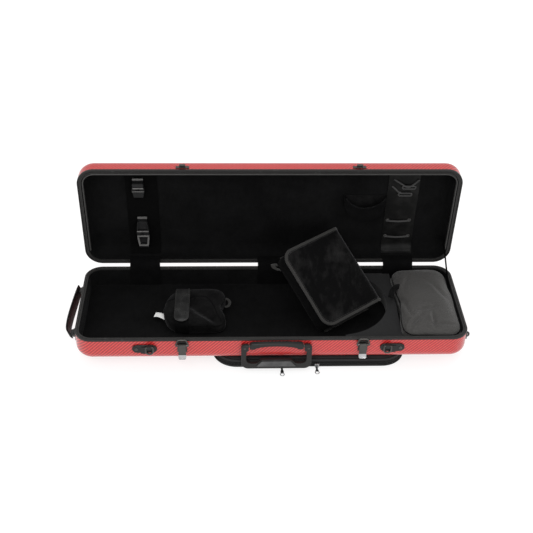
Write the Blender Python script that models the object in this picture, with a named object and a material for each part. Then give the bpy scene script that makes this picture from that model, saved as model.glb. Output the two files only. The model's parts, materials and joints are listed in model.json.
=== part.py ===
"""Oblong violin case, open, standing on its zipped music pocket.

Metres, +Z up, +X along the case to the right, the front with the handle faces -Y.
The origin is under the middle of the base shell, on the surface that the case stands on.
Every part of the lid is modelled where it lies when the case is shut, and is turned open
by the empty on the hinge axis.
"""

from math import atan2, cos, degrees, hypot, pi, radians, sin

import bmesh
import bpy
from mathutils import Matrix, Vector

# ---------------------------------------------------------------- driving dimensions
CASE_LENGTH = 0.790
CASE_WIDTH = 0.245
CORNER_RADIUS = 0.036
PARTING_Z = 0.081           # where the two rims meet
POCKET_HEIGHT = 0.0246
BASE_BOTTOM = 0.0250
LID_HEIGHT = 0.042
EDGE_ROUND = 0.022          # rounding of the outer bottom and top edges
SHELL_WALL = 0.0025
RIM_WIDTH = 0.0085
RIM_HEIGHT = 0.0040
RIM_PROUD = 0.0006          # how far the rim stands out from the shell
LINING_INSET = 0.0090       # from the rim's outside to the plush
FLOOR_Z = 0.0360
LID_DEPTH = 0.0340          # from the parting plane to the lid's plush
GAP = 0.0004                # between neighbours that touch

HINGE_SETBACK = 0.0045
LID_OPEN = radians(86)
HINGE_X = (-0.268, 0.281)
STRAP_X = (-0.268, 0.008, 0.281)
STRAP_WIDTH = 0.066

LATCH_X = 0.180
FITTING_X = {"left": -0.2545, "right": 0.2395}

FRONT = -CASE_WIDTH / 2
HINGE_Y = CASE_WIDTH / 2 + HINGE_SETBACK
FACE_Y = FRONT + RIM_PROUD - GAP / 2        # back of what is screwed to the front
END_X = CASE_LENGTH / 2 - RIM_PROUD + GAP / 2
LINING_Y = CASE_WIDTH / 2 - LINING_INSET
LINING_X = CASE_LENGTH / 2 - LINING_INSET
LID_CEILING = PARTING_Z + LID_DEPTH

CORNER_STEPS = 6
ROUND_STEPS = 5
PIN_STEPS = 14

# ---------------------------------------------------------------- clean start
for old in list(bpy.data.objects):
    bpy.data.objects.remove(old, do_unlink=True)

scene = bpy.context.scene
parts = bpy.data.collections.new("violin_case")
tools = bpy.data.collections.new("cutters")
scene.collection.children.link(parts)
scene.collection.children.link(tools)


# ---------------------------------------------------------------- materials
def material(name, colour, roughness, metallic=0.0):
    """A Principled material."""
    mat = bpy.data.materials.new(name)
    mat.use_nodes = True
    shader = mat.node_tree.nodes["Principled BSDF"]
    shader.inputs["Base Color"].default_value = (*colour, 1.0)
    shader.inputs["Roughness"].default_value = roughness
    shader.inputs["Metallic"].default_value = metallic
    mat.diffuse_color = (*colour, 1.0)
    return mat


RED = material("red_carbon", (0.62, 0.02, 0.03), 0.25)
RIM = material("rim_plastic", (0.045, 0.045, 0.048), 0.45)
PLUSH = material("black_plush", (0.008, 0.008, 0.009), 0.95)
FELT = material("grey_felt", (0.022, 0.022, 0.024), 0.95)
NYLON = material("grey_nylon", (0.065, 0.062, 0.060), 0.75)
VELVET = material("black_velvet", (0.010, 0.010, 0.011), 0.90)
STRAP = material("webbing", (0.020, 0.020, 0.022), 0.85)
LEATHER = material("leatherette", (0.045, 0.045, 0.048), 0.55)
PLASTIC = material("hardware_plastic", (0.035, 0.035, 0.038), 0.40)
GRIP = material("grip_rubber", (0.10, 0.10, 0.105), 0.60)
METAL = material("gunmetal", (0.22, 0.22, 0.23), 0.30, 1.0)
CHROME = material("chrome", (0.70, 0.70, 0.72), 0.12, 1.0)
CANVAS = material("pocket_canvas", (0.018, 0.018, 0.020), 0.90)


# ---------------------------------------------------------------- pivots
def pivot(name, position, turn=(0.0, 0.0, 0.0), parent=None):
    """An empty on a joint's axis; what hangs on it keeps the coordinates it was modelled in."""
    empty = bpy.data.objects.new(name, None)
    empty.empty_display_size = 0.01
    scene.collection.objects.link(empty)
    empty.location = position
    empty.rotation_euler = turn
    if parent is not None:
        hang(empty, parent)
    return empty


def hang(child, parent):
    """Parents child so that it stays where it was modelled before the parent's own turn."""
    child.parent = parent
    child.matrix_parent_inverse = Matrix.Translation(-parent.location)


lid_pivot = pivot("lid_hinge_axis", (0.0, HINGE_Y, PARTING_Z), (-LID_OPEN, 0.0, 0.0))


# ---------------------------------------------------------------- solids
def finish_mesh(name, bm, mat, parent=None, smooth=35):
    """Turns a bmesh into a named part with outward faces."""
    bmesh.ops.recalc_face_normals(bm, faces=bm.faces)
    mesh = bpy.data.meshes.new(name)
    bm.to_mesh(mesh)
    bm.free()
    mesh.shade_smooth()
    mesh.set_sharp_from_angle(angle=radians(smooth))
    obj = bpy.data.objects.new(name, mesh)
    parts.objects.link(obj)
    obj.data.materials.append(mat)
    if parent is not None:
        hang(obj, parent)
    return obj


def loft(name, rings, mat, parent=None, cyclic=False):
    """Joins rings of equal length by quads; the ends are capped unless the loft closes on itself."""
    bm = bmesh.new()
    loops = [[bm.verts.new(point) for point in ring] for ring in rings]
    count = len(rings[0])
    pairs = list(zip(loops, loops[1:]))
    if cyclic:
        pairs.append((loops[-1], loops[0]))
    for lower, upper in pairs:
        for k in range(count):
            m = (k + 1) % count
            bm.faces.new((lower[k], lower[m], upper[m], upper[k]))
    if not cyclic:
        bm.faces.new(reversed(loops[0]))
        bm.faces.new(loops[-1])
    return finish_mesh(name, bm, mat, parent)


def box(name, low, high, mat, parent=None, bevel=0.0, steps=2):
    """A block between two corners, with its edges rounded by bevel."""
    bm = bmesh.new()
    bmesh.ops.create_cube(bm, size=1.0)
    middle = (Vector(low) + Vector(high)) / 2
    size = Vector(high) - Vector(low)
    placed = Matrix.Translation(middle) @ Matrix.Diagonal((*size, 1.0))
    bmesh.ops.transform(bm, matrix=placed, verts=bm.verts)
    if bevel:
        bmesh.ops.bevel(bm, geom=bm.edges[:], offset=bevel, segments=steps, profile=0.5, affect="EDGES")
    return finish_mesh(name, bm, mat, parent)


def rod(name, centre, axis, radius, length, mat, parent=None, steps=PIN_STEPS):
    """A round pin centred on a point, along X, Y or Z."""
    bm = bmesh.new()
    bmesh.ops.create_cone(bm, cap_ends=True, segments=steps, radius1=radius, radius2=radius, depth=length)
    turn = {"X": Matrix.Rotation(pi / 2, 4, "Y"), "Y": Matrix.Rotation(pi / 2, 4, "X"), "Z": Matrix()}[axis]
    bmesh.ops.transform(bm, matrix=Matrix.Translation(centre) @ turn, verts=bm.verts)
    return finish_mesh(name, bm, mat, parent)


AXES = {
    "Z": Matrix(),
    "Y": Matrix(((1, 0, 0, 0), (0, 0, -1, 0), (0, 1, 0, 0), (0, 0, 0, 1))),
    "X": Matrix(((0, 0, 1, 0), (1, 0, 0, 0), (0, 1, 0, 0), (0, 0, 0, 1))),
}


def plate(name, outline, low, high, normal, mat, parent=None, holes=(), bevel=0.0):
    """A flat outline with holes, thickened between two planes across the X, Y or Z axis.

    The outline is in (x, y) for Z, in (x, z) for Y and in (y, z) for X.
    """
    curve = bpy.data.curves.new(name, "CURVE")
    curve.dimensions = "2D"
    curve.fill_mode = "BOTH"
    curve.extrude = (high - low) / 2
    for points in (outline, *holes):
        spline = curve.splines.new("POLY")
        spline.points.add(len(points) - 1)
        for point, (u, v) in zip(spline.points, points):
            point.co = (u, v, 0.0, 1.0)
        spline.use_cyclic_u = True
    flat = bpy.data.objects.new(name + "_outline", curve)
    tools.objects.link(flat)
    bpy.context.view_layer.update()
    mesh = bpy.data.meshes.new_from_object(flat.evaluated_get(bpy.context.evaluated_depsgraph_get()))
    bpy.data.objects.remove(flat, do_unlink=True)
    bm = bmesh.new()
    bm.from_mesh(mesh)
    bpy.data.meshes.remove(mesh)
    bmesh.ops.remove_doubles(bm, verts=bm.verts, dist=0.00001)
    bmesh.ops.dissolve_limit(bm, angle_limit=radians(1), verts=bm.verts, edges=bm.edges)
    middle = (low + high) / 2
    if bevel:
        rims = [e for e in bm.edges if len(e.link_faces) == 2 and e.calc_face_angle() > radians(60)
                and abs(e.verts[0].co.z - e.verts[1].co.z) < 1e-7]
        bmesh.ops.bevel(bm, geom=rims, offset=bevel, segments=1, affect="EDGES")
    shift = Matrix.Translation((0.0, 0.0, -middle if normal == "Y" else middle))
    bmesh.ops.transform(bm, matrix=AXES[normal] @ shift, verts=bm.verts)
    return finish_mesh(name, bm, mat, parent)


def tube(name, points, radius, mat, parent=None, cyclic=False, sides=2):
    """A round wire through the points."""
    curve = bpy.data.curves.new(name, "CURVE")
    curve.dimensions = "3D"
    curve.bevel_depth = radius
    curve.bevel_resolution = sides
    curve.use_fill_caps = True
    curve.resolution_u = 1
    spline = curve.splines.new("POLY")
    spline.points.add(len(points) - 1)
    for point, co in zip(spline.points, points):
        point.co = (*co, 1.0)
    spline.use_cyclic_u = cyclic
    obj = bpy.data.objects.new(name, curve)
    parts.objects.link(obj)
    curve.materials.append(mat)
    if parent is not None:
        hang(obj, parent)
    return obj


def boolean(obj, other, operation):
    """Applies a Boolean and removes the other object."""
    modifier = obj.modifiers.new(operation.lower(), "BOOLEAN")
    modifier.operation = operation
    modifier.solver = "EXACT"
    modifier.object = other
    bpy.context.view_layer.update()
    result = bpy.data.meshes.new_from_object(obj.evaluated_get(bpy.context.evaluated_depsgraph_get()))
    obj.modifiers.clear()
    obj.data = result
    bpy.data.objects.remove(other, do_unlink=True)


def drill(obj, centre, axis, radius, length):
    """Cuts a round hole through obj, in the coordinates that obj was modelled in."""
    cutter = rod(obj.name + "_drill", centre, axis, radius, length, PLASTIC)
    cutter.hide_render = True
    cutter.display_type = "WIRE"
    cutter.matrix_world = obj.matrix_world
    keep = obj.parent
    if keep is not None:
        hang(cutter, keep)
    boolean(obj, cutter, "DIFFERENCE")


# ---------------------------------------------------------------- outlines
def arc(cx, cy, radius, start, stop, steps):
    """Points on an arc, angles in degrees."""
    turns = [radians(start + (stop - start) * k / steps) for k in range(steps + 1)]
    return [(cx + radius * cos(t), cy + radius * sin(t)) for t in turns]


def rounded(half_x, half_y, radius, cx=0.0, cy=0.0, steps=CORNER_STEPS):
    """A rectangle with round corners, anticlockwise."""
    x, y = half_x - radius, half_y - radius
    corners = ((x, y, 0), (-x, y, 90), (-x, -y, 180), (x, -y, 270))
    points = []
    for px, py, start in corners:
        points += arc(cx + px, cy + py, radius, start, start + 90, steps)
    return points


def evenly(start, stop, count):
    """Values from start to stop in equal steps."""
    return [start + (stop - start) * k / count for k in range(count + 1)]


def circle(cx, cy, radius, steps=PIN_STEPS):
    """A closed circle."""
    return arc(cx, cy, radius, 0, 360 - 360 / steps, steps - 1)


def case_ring(inset, z):
    """The case's plan outline drawn in by inset, at height z."""
    radius = max(CORNER_RADIUS - inset, 0.004)
    outline = rounded(CASE_LENGTH / 2 - inset, CASE_WIDTH / 2 - inset, radius)
    return [(x, y, z) for x, y in outline]


def wall_levels(inset, edge_radius, far_z, rim_z):
    """Insets and heights of a wall, from its flat far side, round the edge, to the rim."""
    side = 1 if rim_z > far_z else -1
    levels = []
    for k in range(ROUND_STEPS + 1):
        angle = pi / 2 * k / ROUND_STEPS
        levels.append((inset + edge_radius * (1 - sin(angle)),
                       far_z + side * edge_radius * (1 - cos(angle))))
    levels.append((inset, rim_z))
    return levels


def tray(name, outer, inner, mat, parent=None):
    """A hollow shell between an outer and an inner wall."""
    levels = outer + list(reversed(inner))
    return loft(name, [case_ring(inset, z) for inset, z in levels], mat, parent)


# ---------------------------------------------------------------- shells, rims, linings
BASE_RIM_Z = PARTING_Z - GAP - RIM_HEIGHT
LID_RIM_Z = PARTING_Z + GAP + RIM_HEIGHT
LID_TOP = PARTING_Z + LID_HEIGHT
TONGUE = 0.0013
LINING_BACK = SHELL_WALL + RIM_PROUD + GAP
BASE_FILLET = 0.003
LID_FILLET = 0.0225


def make_shells():
    """The two red shells with their plush linings."""
    inner_round = EDGE_ROUND - SHELL_WALL
    base_edge = BASE_RIM_Z - GAP
    lid_edge = LID_RIM_Z + GAP
    tray("base_shell",
         wall_levels(RIM_PROUD, EDGE_ROUND, BASE_BOTTOM, base_edge),
         wall_levels(RIM_PROUD + SHELL_WALL, inner_round, BASE_BOTTOM + SHELL_WALL, base_edge), RED)
    tray("lid_shell",
         wall_levels(RIM_PROUD, EDGE_ROUND, LID_TOP, lid_edge),
         wall_levels(RIM_PROUD + SHELL_WALL, inner_round, LID_TOP - SHELL_WALL, lid_edge), RED, lid_pivot)
    tray("base_lining",
         wall_levels(LINING_BACK, inner_round - GAP, BASE_BOTTOM + SHELL_WALL + GAP, base_edge),
         wall_levels(LINING_INSET, BASE_FILLET, FLOOR_Z, base_edge), PLUSH)
    tray("lid_lining",
         wall_levels(LINING_BACK, inner_round - GAP, LID_TOP - SHELL_WALL - GAP, lid_edge),
         wall_levels(LINING_INSET, LID_FILLET, LID_CEILING, lid_edge), PLUSH, lid_pivot)


def make_rims():
    """The dark rims: the base one has a tongue, the lid one the groove for it."""
    top = PARTING_Z - GAP
    tongue_out, tongue_in = 0.0036, 0.0050
    base = ((0.0, BASE_RIM_Z), (0.0, top), (tongue_out, top), (tongue_out, top + TONGUE),
            (tongue_in, top + TONGUE), (tongue_in, top), (RIM_WIDTH, top), (RIM_WIDTH, BASE_RIM_Z))
    loft("base_rim", [case_ring(inset, z) for inset, z in base], RIM, cyclic=True)
    under = PARTING_Z + GAP
    groove_out, groove_in, groove_top = 0.0022, 0.0064, under + 0.0022
    lid = ((0.0, LID_RIM_Z), (0.0, under), (groove_out, under), (groove_out, groove_top),
           (groove_in, groove_top), (groove_in, under), (RIM_WIDTH, under), (RIM_WIDTH, LID_RIM_Z))
    loft("lid_rim", [case_ring(inset, z) for inset, z in lid], RIM, lid_pivot, cyclic=True)


# ---------------------------------------------------------------- hinges and straps
HINGE_LENGTH = 0.040
EYE_RADIUS = 0.0026
HINGE_PIN = 0.0010
PIN_CLEARANCE = 0.0003


def hinge_leaf(name, x, side, mat, parent=None):
    """A leaf plate with its knuckles round the hinge axis; side is -1 below and 1 above."""
    inner = -FACE_Y + 0.0006
    half = HINGE_LENGTH / 2
    low_z, high_z = sorted((PARTING_Z + side * 0.0030, PARTING_Z + side * 0.0200))
    leaf = box(name, (x - half, inner, low_z), (x + half, inner + 0.0015, high_z), mat)
    spans = ((-half, -0.0072), (0.0072, half)) if side < 0 else ((-0.0068, 0.0068),)
    web_low, web_high = sorted((PARTING_Z + side * 0.0008, PARTING_Z + side * 0.0045))
    for low, high in spans:
        eye = rod("eye", (x + (low + high) / 2, HINGE_Y, PARTING_Z), "X", EYE_RADIUS, high - low, mat)
        boolean(leaf, eye, "UNION")
        web = box("web", (x + low, inner + 0.0001, web_low), (x + high, HINGE_Y - 0.0008, web_high), mat)
        boolean(leaf, web, "UNION")
    drill(leaf, (x, HINGE_Y, PARTING_Z), "X", HINGE_PIN + PIN_CLEARANCE, HINGE_LENGTH * 1.2)
    if parent is not None:
        hang(leaf, parent)


def make_hinges():
    """Two pinned hinges on the back."""
    for label, x in zip(("left", "right"), HINGE_X):
        hinge_leaf("hinge_base_leaf_" + label, x, -1, METAL)
        hinge_leaf("hinge_lid_leaf_" + label, x, 1, METAL, lid_pivot)
        rod("hinge_pin_" + label, (x, HINGE_Y, PARTING_Z), "X", HINGE_PIN, HINGE_LENGTH - 0.001, CHROME)


def ribbon(name, path, thickness, low_x, high_x, mat, parent=None):
    """A flat strap of even thickness that follows a path of (y, z) points."""
    rings = []
    for k, (y, z) in enumerate(path):
        before, after = path[max(k - 1, 0)], path[min(k + 1, len(path) - 1)]
        dy, dz = after[0] - before[0], after[1] - before[1]
        length = hypot(dy, dz)
        ny, nz = -dz / length * thickness / 2, dy / length * thickness / 2
        rings.append([(low_x, y + ny, z + nz), (high_x, y + ny, z + nz),
                      (high_x, y - ny, z - nz), (low_x, y - ny, z - nz)])
    return loft(name, rings, mat, parent)


def lid_point(y, z):
    """Where a point of the shut lid is when the lid is open."""
    dy, dz = y - HINGE_Y, z - PARTING_Z
    c, s = cos(-LID_OPEN), sin(-LID_OPEN)
    return (HINGE_Y + dy * c - dz * s, PARTING_Z + dy * s + dz * c)


STRAP_THICKNESS = 0.0012
LID_FILLET_Y = LINING_Y - LID_FILLET
LID_FILLET_Z = LID_CEILING - LID_FILLET


def make_hinge_straps():
    """Three velvet straps from the lid's back wall, over the hinge, down to the floor."""
    off = STRAP_THICKNESS / 2 + 0.0005
    wall_y = LINING_Y - off
    down = [(wall_y, FLOOR_Z + 0.0040), (wall_y, 0.060), (wall_y, PARTING_Z - 0.003)]
    over = [(LINING_Y + 0.0015, PARTING_Z + 0.0075), (LINING_Y + 0.0085, PARTING_Z + 0.0140)]
    up = [lid_point(wall_y - 0.0007, PARTING_Z + 0.0060), lid_point(wall_y, LID_FILLET_Z - 0.001)]
    for label, x in zip(("left", "center", "right"), STRAP_X):
        ribbon("hinge_strap_" + label, down + over + up, STRAP_THICKNESS,
               x - STRAP_WIDTH / 2, x + STRAP_WIDTH / 2, VELVET)


def make_lid_stay():
    """The ribbon at the right that stops the lid, lying along the end walls."""
    wall = LINING_X - 0.0022
    half, width = 0.0004, 0.010
    path = ((wall, 0.034, 0.066), (wall, 0.050, 0.0715), (wall, 0.068, 0.0800), (wall, 0.090, 0.0920),
            (wall - 0.0004, 0.112, 0.1060), (wall - 0.0015, 0.126, 0.1200), (wall - 0.0050, 0.135, 0.1330),
            (wall - 0.0100, 0.140, 0.1440))
    rings = []
    for k, (x, y, z) in enumerate(path):
        before, after = path[max(k - 1, 0)], path[min(k + 1, len(path) - 1)]
        dy, dz = after[1] - before[1], after[2] - before[2]
        length = hypot(dy, dz)
        ny, nz = -dz / length * width / 2, dy / length * width / 2
        rings.append([(x - half, y + ny, z + nz), (x + half, y + ny, z + nz),
                      (x + half, y - ny, z - nz), (x - half, y - ny, z - nz)])
    loft("lid_stay", rings, STRAP)


# ---------------------------------------------------------------- inside the base
BLOCK_LEFT, BLOCK_RIGHT = 0.150, 0.262
BLOCK_TOP = 0.066
BOUT_X, BOUT_Y, BOUT_RADIUS = 0.137, 0.015, 0.110


def make_bout_block():
    """The foam block with the round hollow for the instrument's lower end."""
    edge = LINING_Y - STRAP_THICKNESS - 3 * GAP
    top_angle = degrees(atan2(edge - BOUT_Y, (BOUT_RADIUS ** 2 - (edge - BOUT_Y) ** 2) ** 0.5))
    outline = [(BLOCK_RIGHT, -edge), (BLOCK_RIGHT, edge)]
    outline += arc(BOUT_X, BOUT_Y, BOUT_RADIUS, top_angle, -80, 16)
    outline += [(BLOCK_LEFT, BOUT_Y - BOUT_RADIUS), (BLOCK_LEFT, -edge)]
    plate("bout_block", outline, FLOOR_Z + GAP, BLOCK_TOP, "Z", FELT, bevel=0.0015)


def make_neck_rest():
    """The quilted cushion for the neck and the strap that holds it down."""
    box("neck_cushion", (-0.226, -0.060, FLOOR_Z + GAP), (-0.088, 0.070, 0.0670), VELVET, bevel=0.009)
    strap_x, half = -0.185, 0.014
    turn = pivot("neck_strap_axis", (strap_x, 0.060, 0.0690))
    top = 0.0690
    path = [(0.0605, top), (0.040, top), (0.0, top + 0.0004), (-0.030, top)]
    rings = []
    for y, z in path:
        rings.append([(strap_x - half, y, z), (strap_x + half, y, z),
                      (strap_x + half, y, z + 0.0018), (strap_x - half, y, z + 0.0018)])
    for angle in (30, 55, 75):
        y = -0.030 - half * sin(radians(angle))
        w = half * cos(radians(angle))
        rings.append([(strap_x - w, y, top), (strap_x + w, y, top),
                      (strap_x + w, y, top + 0.0018), (strap_x - w, y, top + 0.0018)])
    loft("neck_strap", rings, LEATHER, turn)


BAG_LOW = (0.2626, -0.1105)
BAG_HIGH = (0.3822, 0.1065)


def make_nylon_bag():
    """The grey zipped bag at the right end; it lifts out."""
    cx, cy = (BAG_LOW[0] + BAG_HIGH[0]) / 2, (BAG_LOW[1] + BAG_HIGH[1]) / 2
    hx, hy = (BAG_HIGH[0] - BAG_LOW[0]) / 2, (BAG_HIGH[1] - BAG_LOW[1]) / 2
    levels = ((0.010, FLOOR_Z + GAP), (0.002, 0.045), (0.0, 0.060), (0.0, 0.074),
              (0.003, 0.0835), (0.014, 0.0865))
    rings = []
    for inset, z in levels:
        outline = rounded(hx - inset, hy - inset, 0.024, cx, cy, 4)
        rings.append([(x, y, z) for x, y in outline])
    loft("nylon_bag", rings, NYLON)


# ---------------------------------------------------------------- slanted velvet pouch
POUCH_WIDTH, POUCH_DEPTH, POUCH_HEIGHT = 0.150, 0.182, 0.046
POUCH_CORNER = (0.0965, -0.0632, 0.0385)
POUCH_YAW, POUCH_PITCH, POUCH_ROLL = radians(36.92), radians(34.13), radians(4.30)
POUCH_AXIS_POINT = (-0.03548, 0.04828, 0.10135)
FLAP_THICKNESS = 0.0018


def pouch_frame():
    """The pouch's own axes: along its low edge, up its slope, and out of its top."""
    across = Matrix.Rotation(POUCH_YAW, 3, "Z") @ Matrix.Rotation(POUCH_PITCH, 3, "X")
    rolled = across @ Matrix.Rotation(-POUCH_ROLL, 3, "Y")
    return Matrix.Translation(POUCH_CORNER) @ rolled.to_4x4()


def make_pouch():
    """The velvet pouch, stood at a slant between the foam block and the open lid."""
    place = pouch_frame()
    turn = pivot("pouch_axis", POUCH_AXIS_POINT, parent=None)
    body = box("pouch_body", (0, 0, 0), (POUCH_WIDTH, POUCH_DEPTH, POUCH_HEIGHT), VELVET, bevel=0.006)
    body.data.transform(place)
    hang(body, turn)
    fold = place @ Vector((POUCH_WIDTH, 0, POUCH_HEIGHT + GAP))
    flap_turn = pivot("pouch_flap_axis", fold)
    low = (0.0005, 0.002, POUCH_HEIGHT + GAP)
    high = (POUCH_WIDTH, POUCH_DEPTH - 0.002, POUCH_HEIGHT + GAP + FLAP_THICKNESS)
    flap = box("pouch_flap", low, high, VELVET)
    flap.data.transform(place)
    hang(flap, flap_turn)


# ---------------------------------------------------------------- inside the lid
BAND_THICKNESS = 0.0014
BAND_FRONT_Y = -0.088
CLIP_BASE = 0.0022


def lid_band_path(front_y):
    """A path on the lid's plush, from front_y back and round the fillet to the back wall."""
    off = BAND_THICKNESS / 2 + GAP
    path = [(front_y, LID_CEILING - off), (0.030, LID_CEILING - off)]
    for angle in (90, 68, 45, 22):
        path.append((LID_FILLET_Y + (LID_FILLET - off) * cos(radians(angle)),
                     LID_FILLET_Z + (LID_FILLET - off) * sin(radians(angle))))
    return path


def trapezoid(cx, near_y, far_y, near_half, far_half):
    """Four corners between two edges across the band."""
    return [(cx - near_half, near_y), (cx + near_half, near_y),
            (cx + far_half, far_y), (cx - far_half, far_y)]


CLIPS = (
    # base, middle x, front y, back y, half width at each, depth, which edge it turns on
    ("front", -0.2745, -0.0728, -0.0605, 0.0115, 0.0115, 0.0085, "front"),
    ("front", -0.2745, -0.0550, -0.0375, 0.0130, 0.0095, 0.0085, "back"),
    ("back", -0.2710, 0.0275, 0.0525, 0.0105, 0.0130, 0.0090, "front"),
    ("back", -0.2710, 0.0635, 0.0965, 0.0135, 0.0100, 0.0060, "back"),
)
CRADLES = (("front", -0.2745, -0.0598, -0.0556), ("back", -0.2710, 0.0532, 0.0628))
BAND_Z = LID_CEILING - BAND_THICKNESS - 2 * GAP
CLIP_BASE_Z = BAND_Z - CLIP_BASE
CLIP_TOP_Z = CLIP_BASE_Z - GAP


def make_bow_holders():
    """The band, two clip bases with notched cradles, and four bow clips that flip open."""
    ribbon("bow_band", lid_band_path(BAND_FRONT_Y), BAND_THICKNESS,
           STRAP_X[0] - STRAP_WIDTH / 2, STRAP_X[0] + STRAP_WIDTH / 2, STRAP, lid_pivot)
    for label, x, low_y, high_y in CRADLES:
        own = [clip for clip in CLIPS if clip[0] == label]
        back_end = min(own[1][3] - 0.002, LID_FILLET_Y - 0.003)
        outline = [(x - 0.0085, own[0][2]), (x + 0.0085, own[0][2]), (x + 0.0085, back_end),
                   (x - 0.0085, back_end)]
        base = plate("bow_clip_base_" + label, outline, CLIP_BASE_Z, BAND_Z, "Z", PLASTIC)
        near, far = CLIP_BASE_Z + 0.0004, CLIP_BASE_Z - 0.0075
        notch = [(x - 0.0130, near), (x - 0.0130, far), (x - 0.0050, far), (x, far + 0.0045),
                 (x + 0.0050, far), (x + 0.0130, far), (x + 0.0130, near)]
        cradle = plate("cradle", notch, low_y, high_y, "Y", PLASTIC)
        boolean(base, cradle, "UNION")
        hang(base, lid_pivot)
    for number, (label, x, front, back, front_half, back_half, depth, edge) in enumerate(CLIPS, 1):
        outline = trapezoid(x, front, back, front_half, back_half)
        holes = ()
        if number == len(CLIPS):
            holes = (trapezoid(x, front + 0.0070, back - 0.0060, front_half - 0.0050, back_half - 0.0035),)
        turn_y = front if edge == "front" else back
        turn = pivot("bow_clip_axis_%d" % number, (x, turn_y, CLIP_TOP_Z), parent=lid_pivot)
        plate("bow_clip_%d" % number, outline, CLIP_TOP_Z - depth, CLIP_TOP_Z, "Z", PLASTIC, turn,
              holes=holes, bevel=0.0010)


def make_tip_band():
    """The leatherette band for the bow tips."""
    ribbon("tip_band", lid_band_path(BAND_FRONT_Y), BAND_THICKNESS,
           STRAP_X[2] - STRAP_WIDTH / 2, STRAP_X[2] + STRAP_WIDTH / 2, LEATHER, lid_pivot)


LID_POCKET_X = (0.159, 0.245)
LID_POCKET_Y = (-0.041, 0.022)
LID_POCKET_HEIGHT = 0.0160


def make_lid_pocket():
    """The half-moon pocket in the lid, open along its straight edge."""
    low_x, high_x = LID_POCKET_X
    mouth, bottom = LID_POCKET_Y
    cx, half = (low_x + high_x) / 2, (high_x - low_x) / 2

    def half_moon(inset, start):
        """The pocket's outline drawn in by inset, from the line start."""
        points = [(cx - half + inset, start), (cx + half - inset, start)]
        depth = bottom - inset - (mouth + 0.020)
        for k in range(11):
            t = pi * k / 10
            points.append((cx + (half - inset) * cos(t), mouth + 0.020 + depth * sin(t)))
        return points

    top = LID_CEILING - GAP
    wall = 0.0022
    pocket = plate("lid_pocket", half_moon(0.0, mouth), top - LID_POCKET_HEIGHT, top, "Z", VELVET)
    hollow = plate("lid_pocket_hollow", half_moon(wall, mouth - 0.005),
                   top - LID_POCKET_HEIGHT + wall, top - wall, "Z", VELVET)
    boolean(pocket, hollow, "DIFFERENCE")
    hang(pocket, lid_pivot)


# ---------------------------------------------------------------- carrying handle
HANDLE_X = 0.0075
HANDLE_PIVOT_Z = 0.0672
HANDLE_Y = FRONT - 0.0055
HANDLE_THICKNESS = 0.0080
HANDLE_TOP, HANDLE_LOW = 0.0712, 0.0105
BRACKET_HALF = 0.0535
BRACKET_ARCH = 0.0430           # half the span of the arch under the bracket
BRACKET_LOW, BRACKET_RISE = 0.0605, 0.0080
ARM_IN, ARM_OUT = 0.0555, 0.0705


def make_handle():
    """The bracket, its two pins, the U handle and the soft grip on its bar."""
    cx = HANDLE_X
    arch = [(cx + BRACKET_ARCH * cos(t), BRACKET_LOW + BRACKET_RISE * sin(t)) for t in evenly(pi, 0, 8)]
    arch += [(cx + BRACKET_HALF, BRACKET_LOW), (cx + BRACKET_HALF, 0.0690)]
    arch += arc(cx + BRACKET_HALF - 0.006, 0.0690, 0.006, 0, 80, 3)[1:]
    arch += [(cx + 0.020, 0.0762), (cx - 0.020, 0.0762)]
    arch += arc(cx - BRACKET_HALF + 0.006, 0.0690, 0.006, 100, 180, 3)
    arch += [(cx - BRACKET_HALF, BRACKET_LOW)]
    front_y, back_y = HANDLE_Y - HANDLE_THICKNESS / 2, HANDLE_Y + HANDLE_THICKNESS / 2
    bracket = plate("handle_bracket", arch, front_y, FACE_Y, "Y", PLASTIC, bevel=0.0012)
    pin_r = 0.0022
    span = 2 * (ARM_OUT - 0.0015)
    drill(bracket, (cx, HANDLE_Y, HANDLE_PIVOT_Z), "X", pin_r + PIN_CLEARANCE, span * 1.2)
    for label, side in (("left", -1), ("right", 1)):
        inner, outer = 0.0450, ARM_OUT - 0.0015
        rod("handle_pin_" + label, (cx + side * (inner + outer) / 2, HANDLE_Y, HANDLE_PIVOT_Z), "X", pin_r,
            outer - inner, METAL)
    turn = pivot("handle_axis", (cx, HANDLE_Y, HANDLE_PIVOT_Z))
    corner, shoulder = 0.0145, 0.0070
    inside = [(ARM_IN, HANDLE_TOP), (ARM_IN, 0.0590), (0.0600, 0.0540), (0.0600, 0.0340), (0.0575, 0.0275),
              (0.0520, 0.0242), (0.0420, 0.0240), (0.0365, 0.0265), (0.0310, 0.0325), (0.0220, 0.0335)]
    outline = arc(cx - ARM_OUT + corner, HANDLE_LOW + corner, corner, 180, 270, 4)
    outline += arc(cx + ARM_OUT - corner, HANDLE_LOW + corner, corner, 270, 360, 4)
    outline += arc(cx + ARM_OUT - shoulder, HANDLE_TOP - shoulder, shoulder, 0, 90, 3)
    outline += [(cx + u, v) for u, v in inside] + [(cx - u, v) for u, v in reversed(inside)]
    outline += arc(cx - ARM_OUT + shoulder, HANDLE_TOP - shoulder, shoulder, 90, 180, 3)
    handle = plate("handle", outline, front_y, back_y, "Y", PLASTIC, bevel=0.0016)
    drill(handle, (cx, HANDLE_Y, HANDLE_PIVOT_Z), "X", pin_r + PIN_CLEARANCE, 2 * ARM_OUT - 0.0024)
    hang(handle, turn)
    pad = [(cx - 0.0400, 0.0180), (cx + 0.0400, 0.0180), (cx + 0.0290, 0.0315), (cx - 0.0290, 0.0315)]
    plate("handle_grip", pad, front_y - 0.0024, front_y - GAP / 2, "Y", GRIP, turn, bevel=0.0008)


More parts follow.
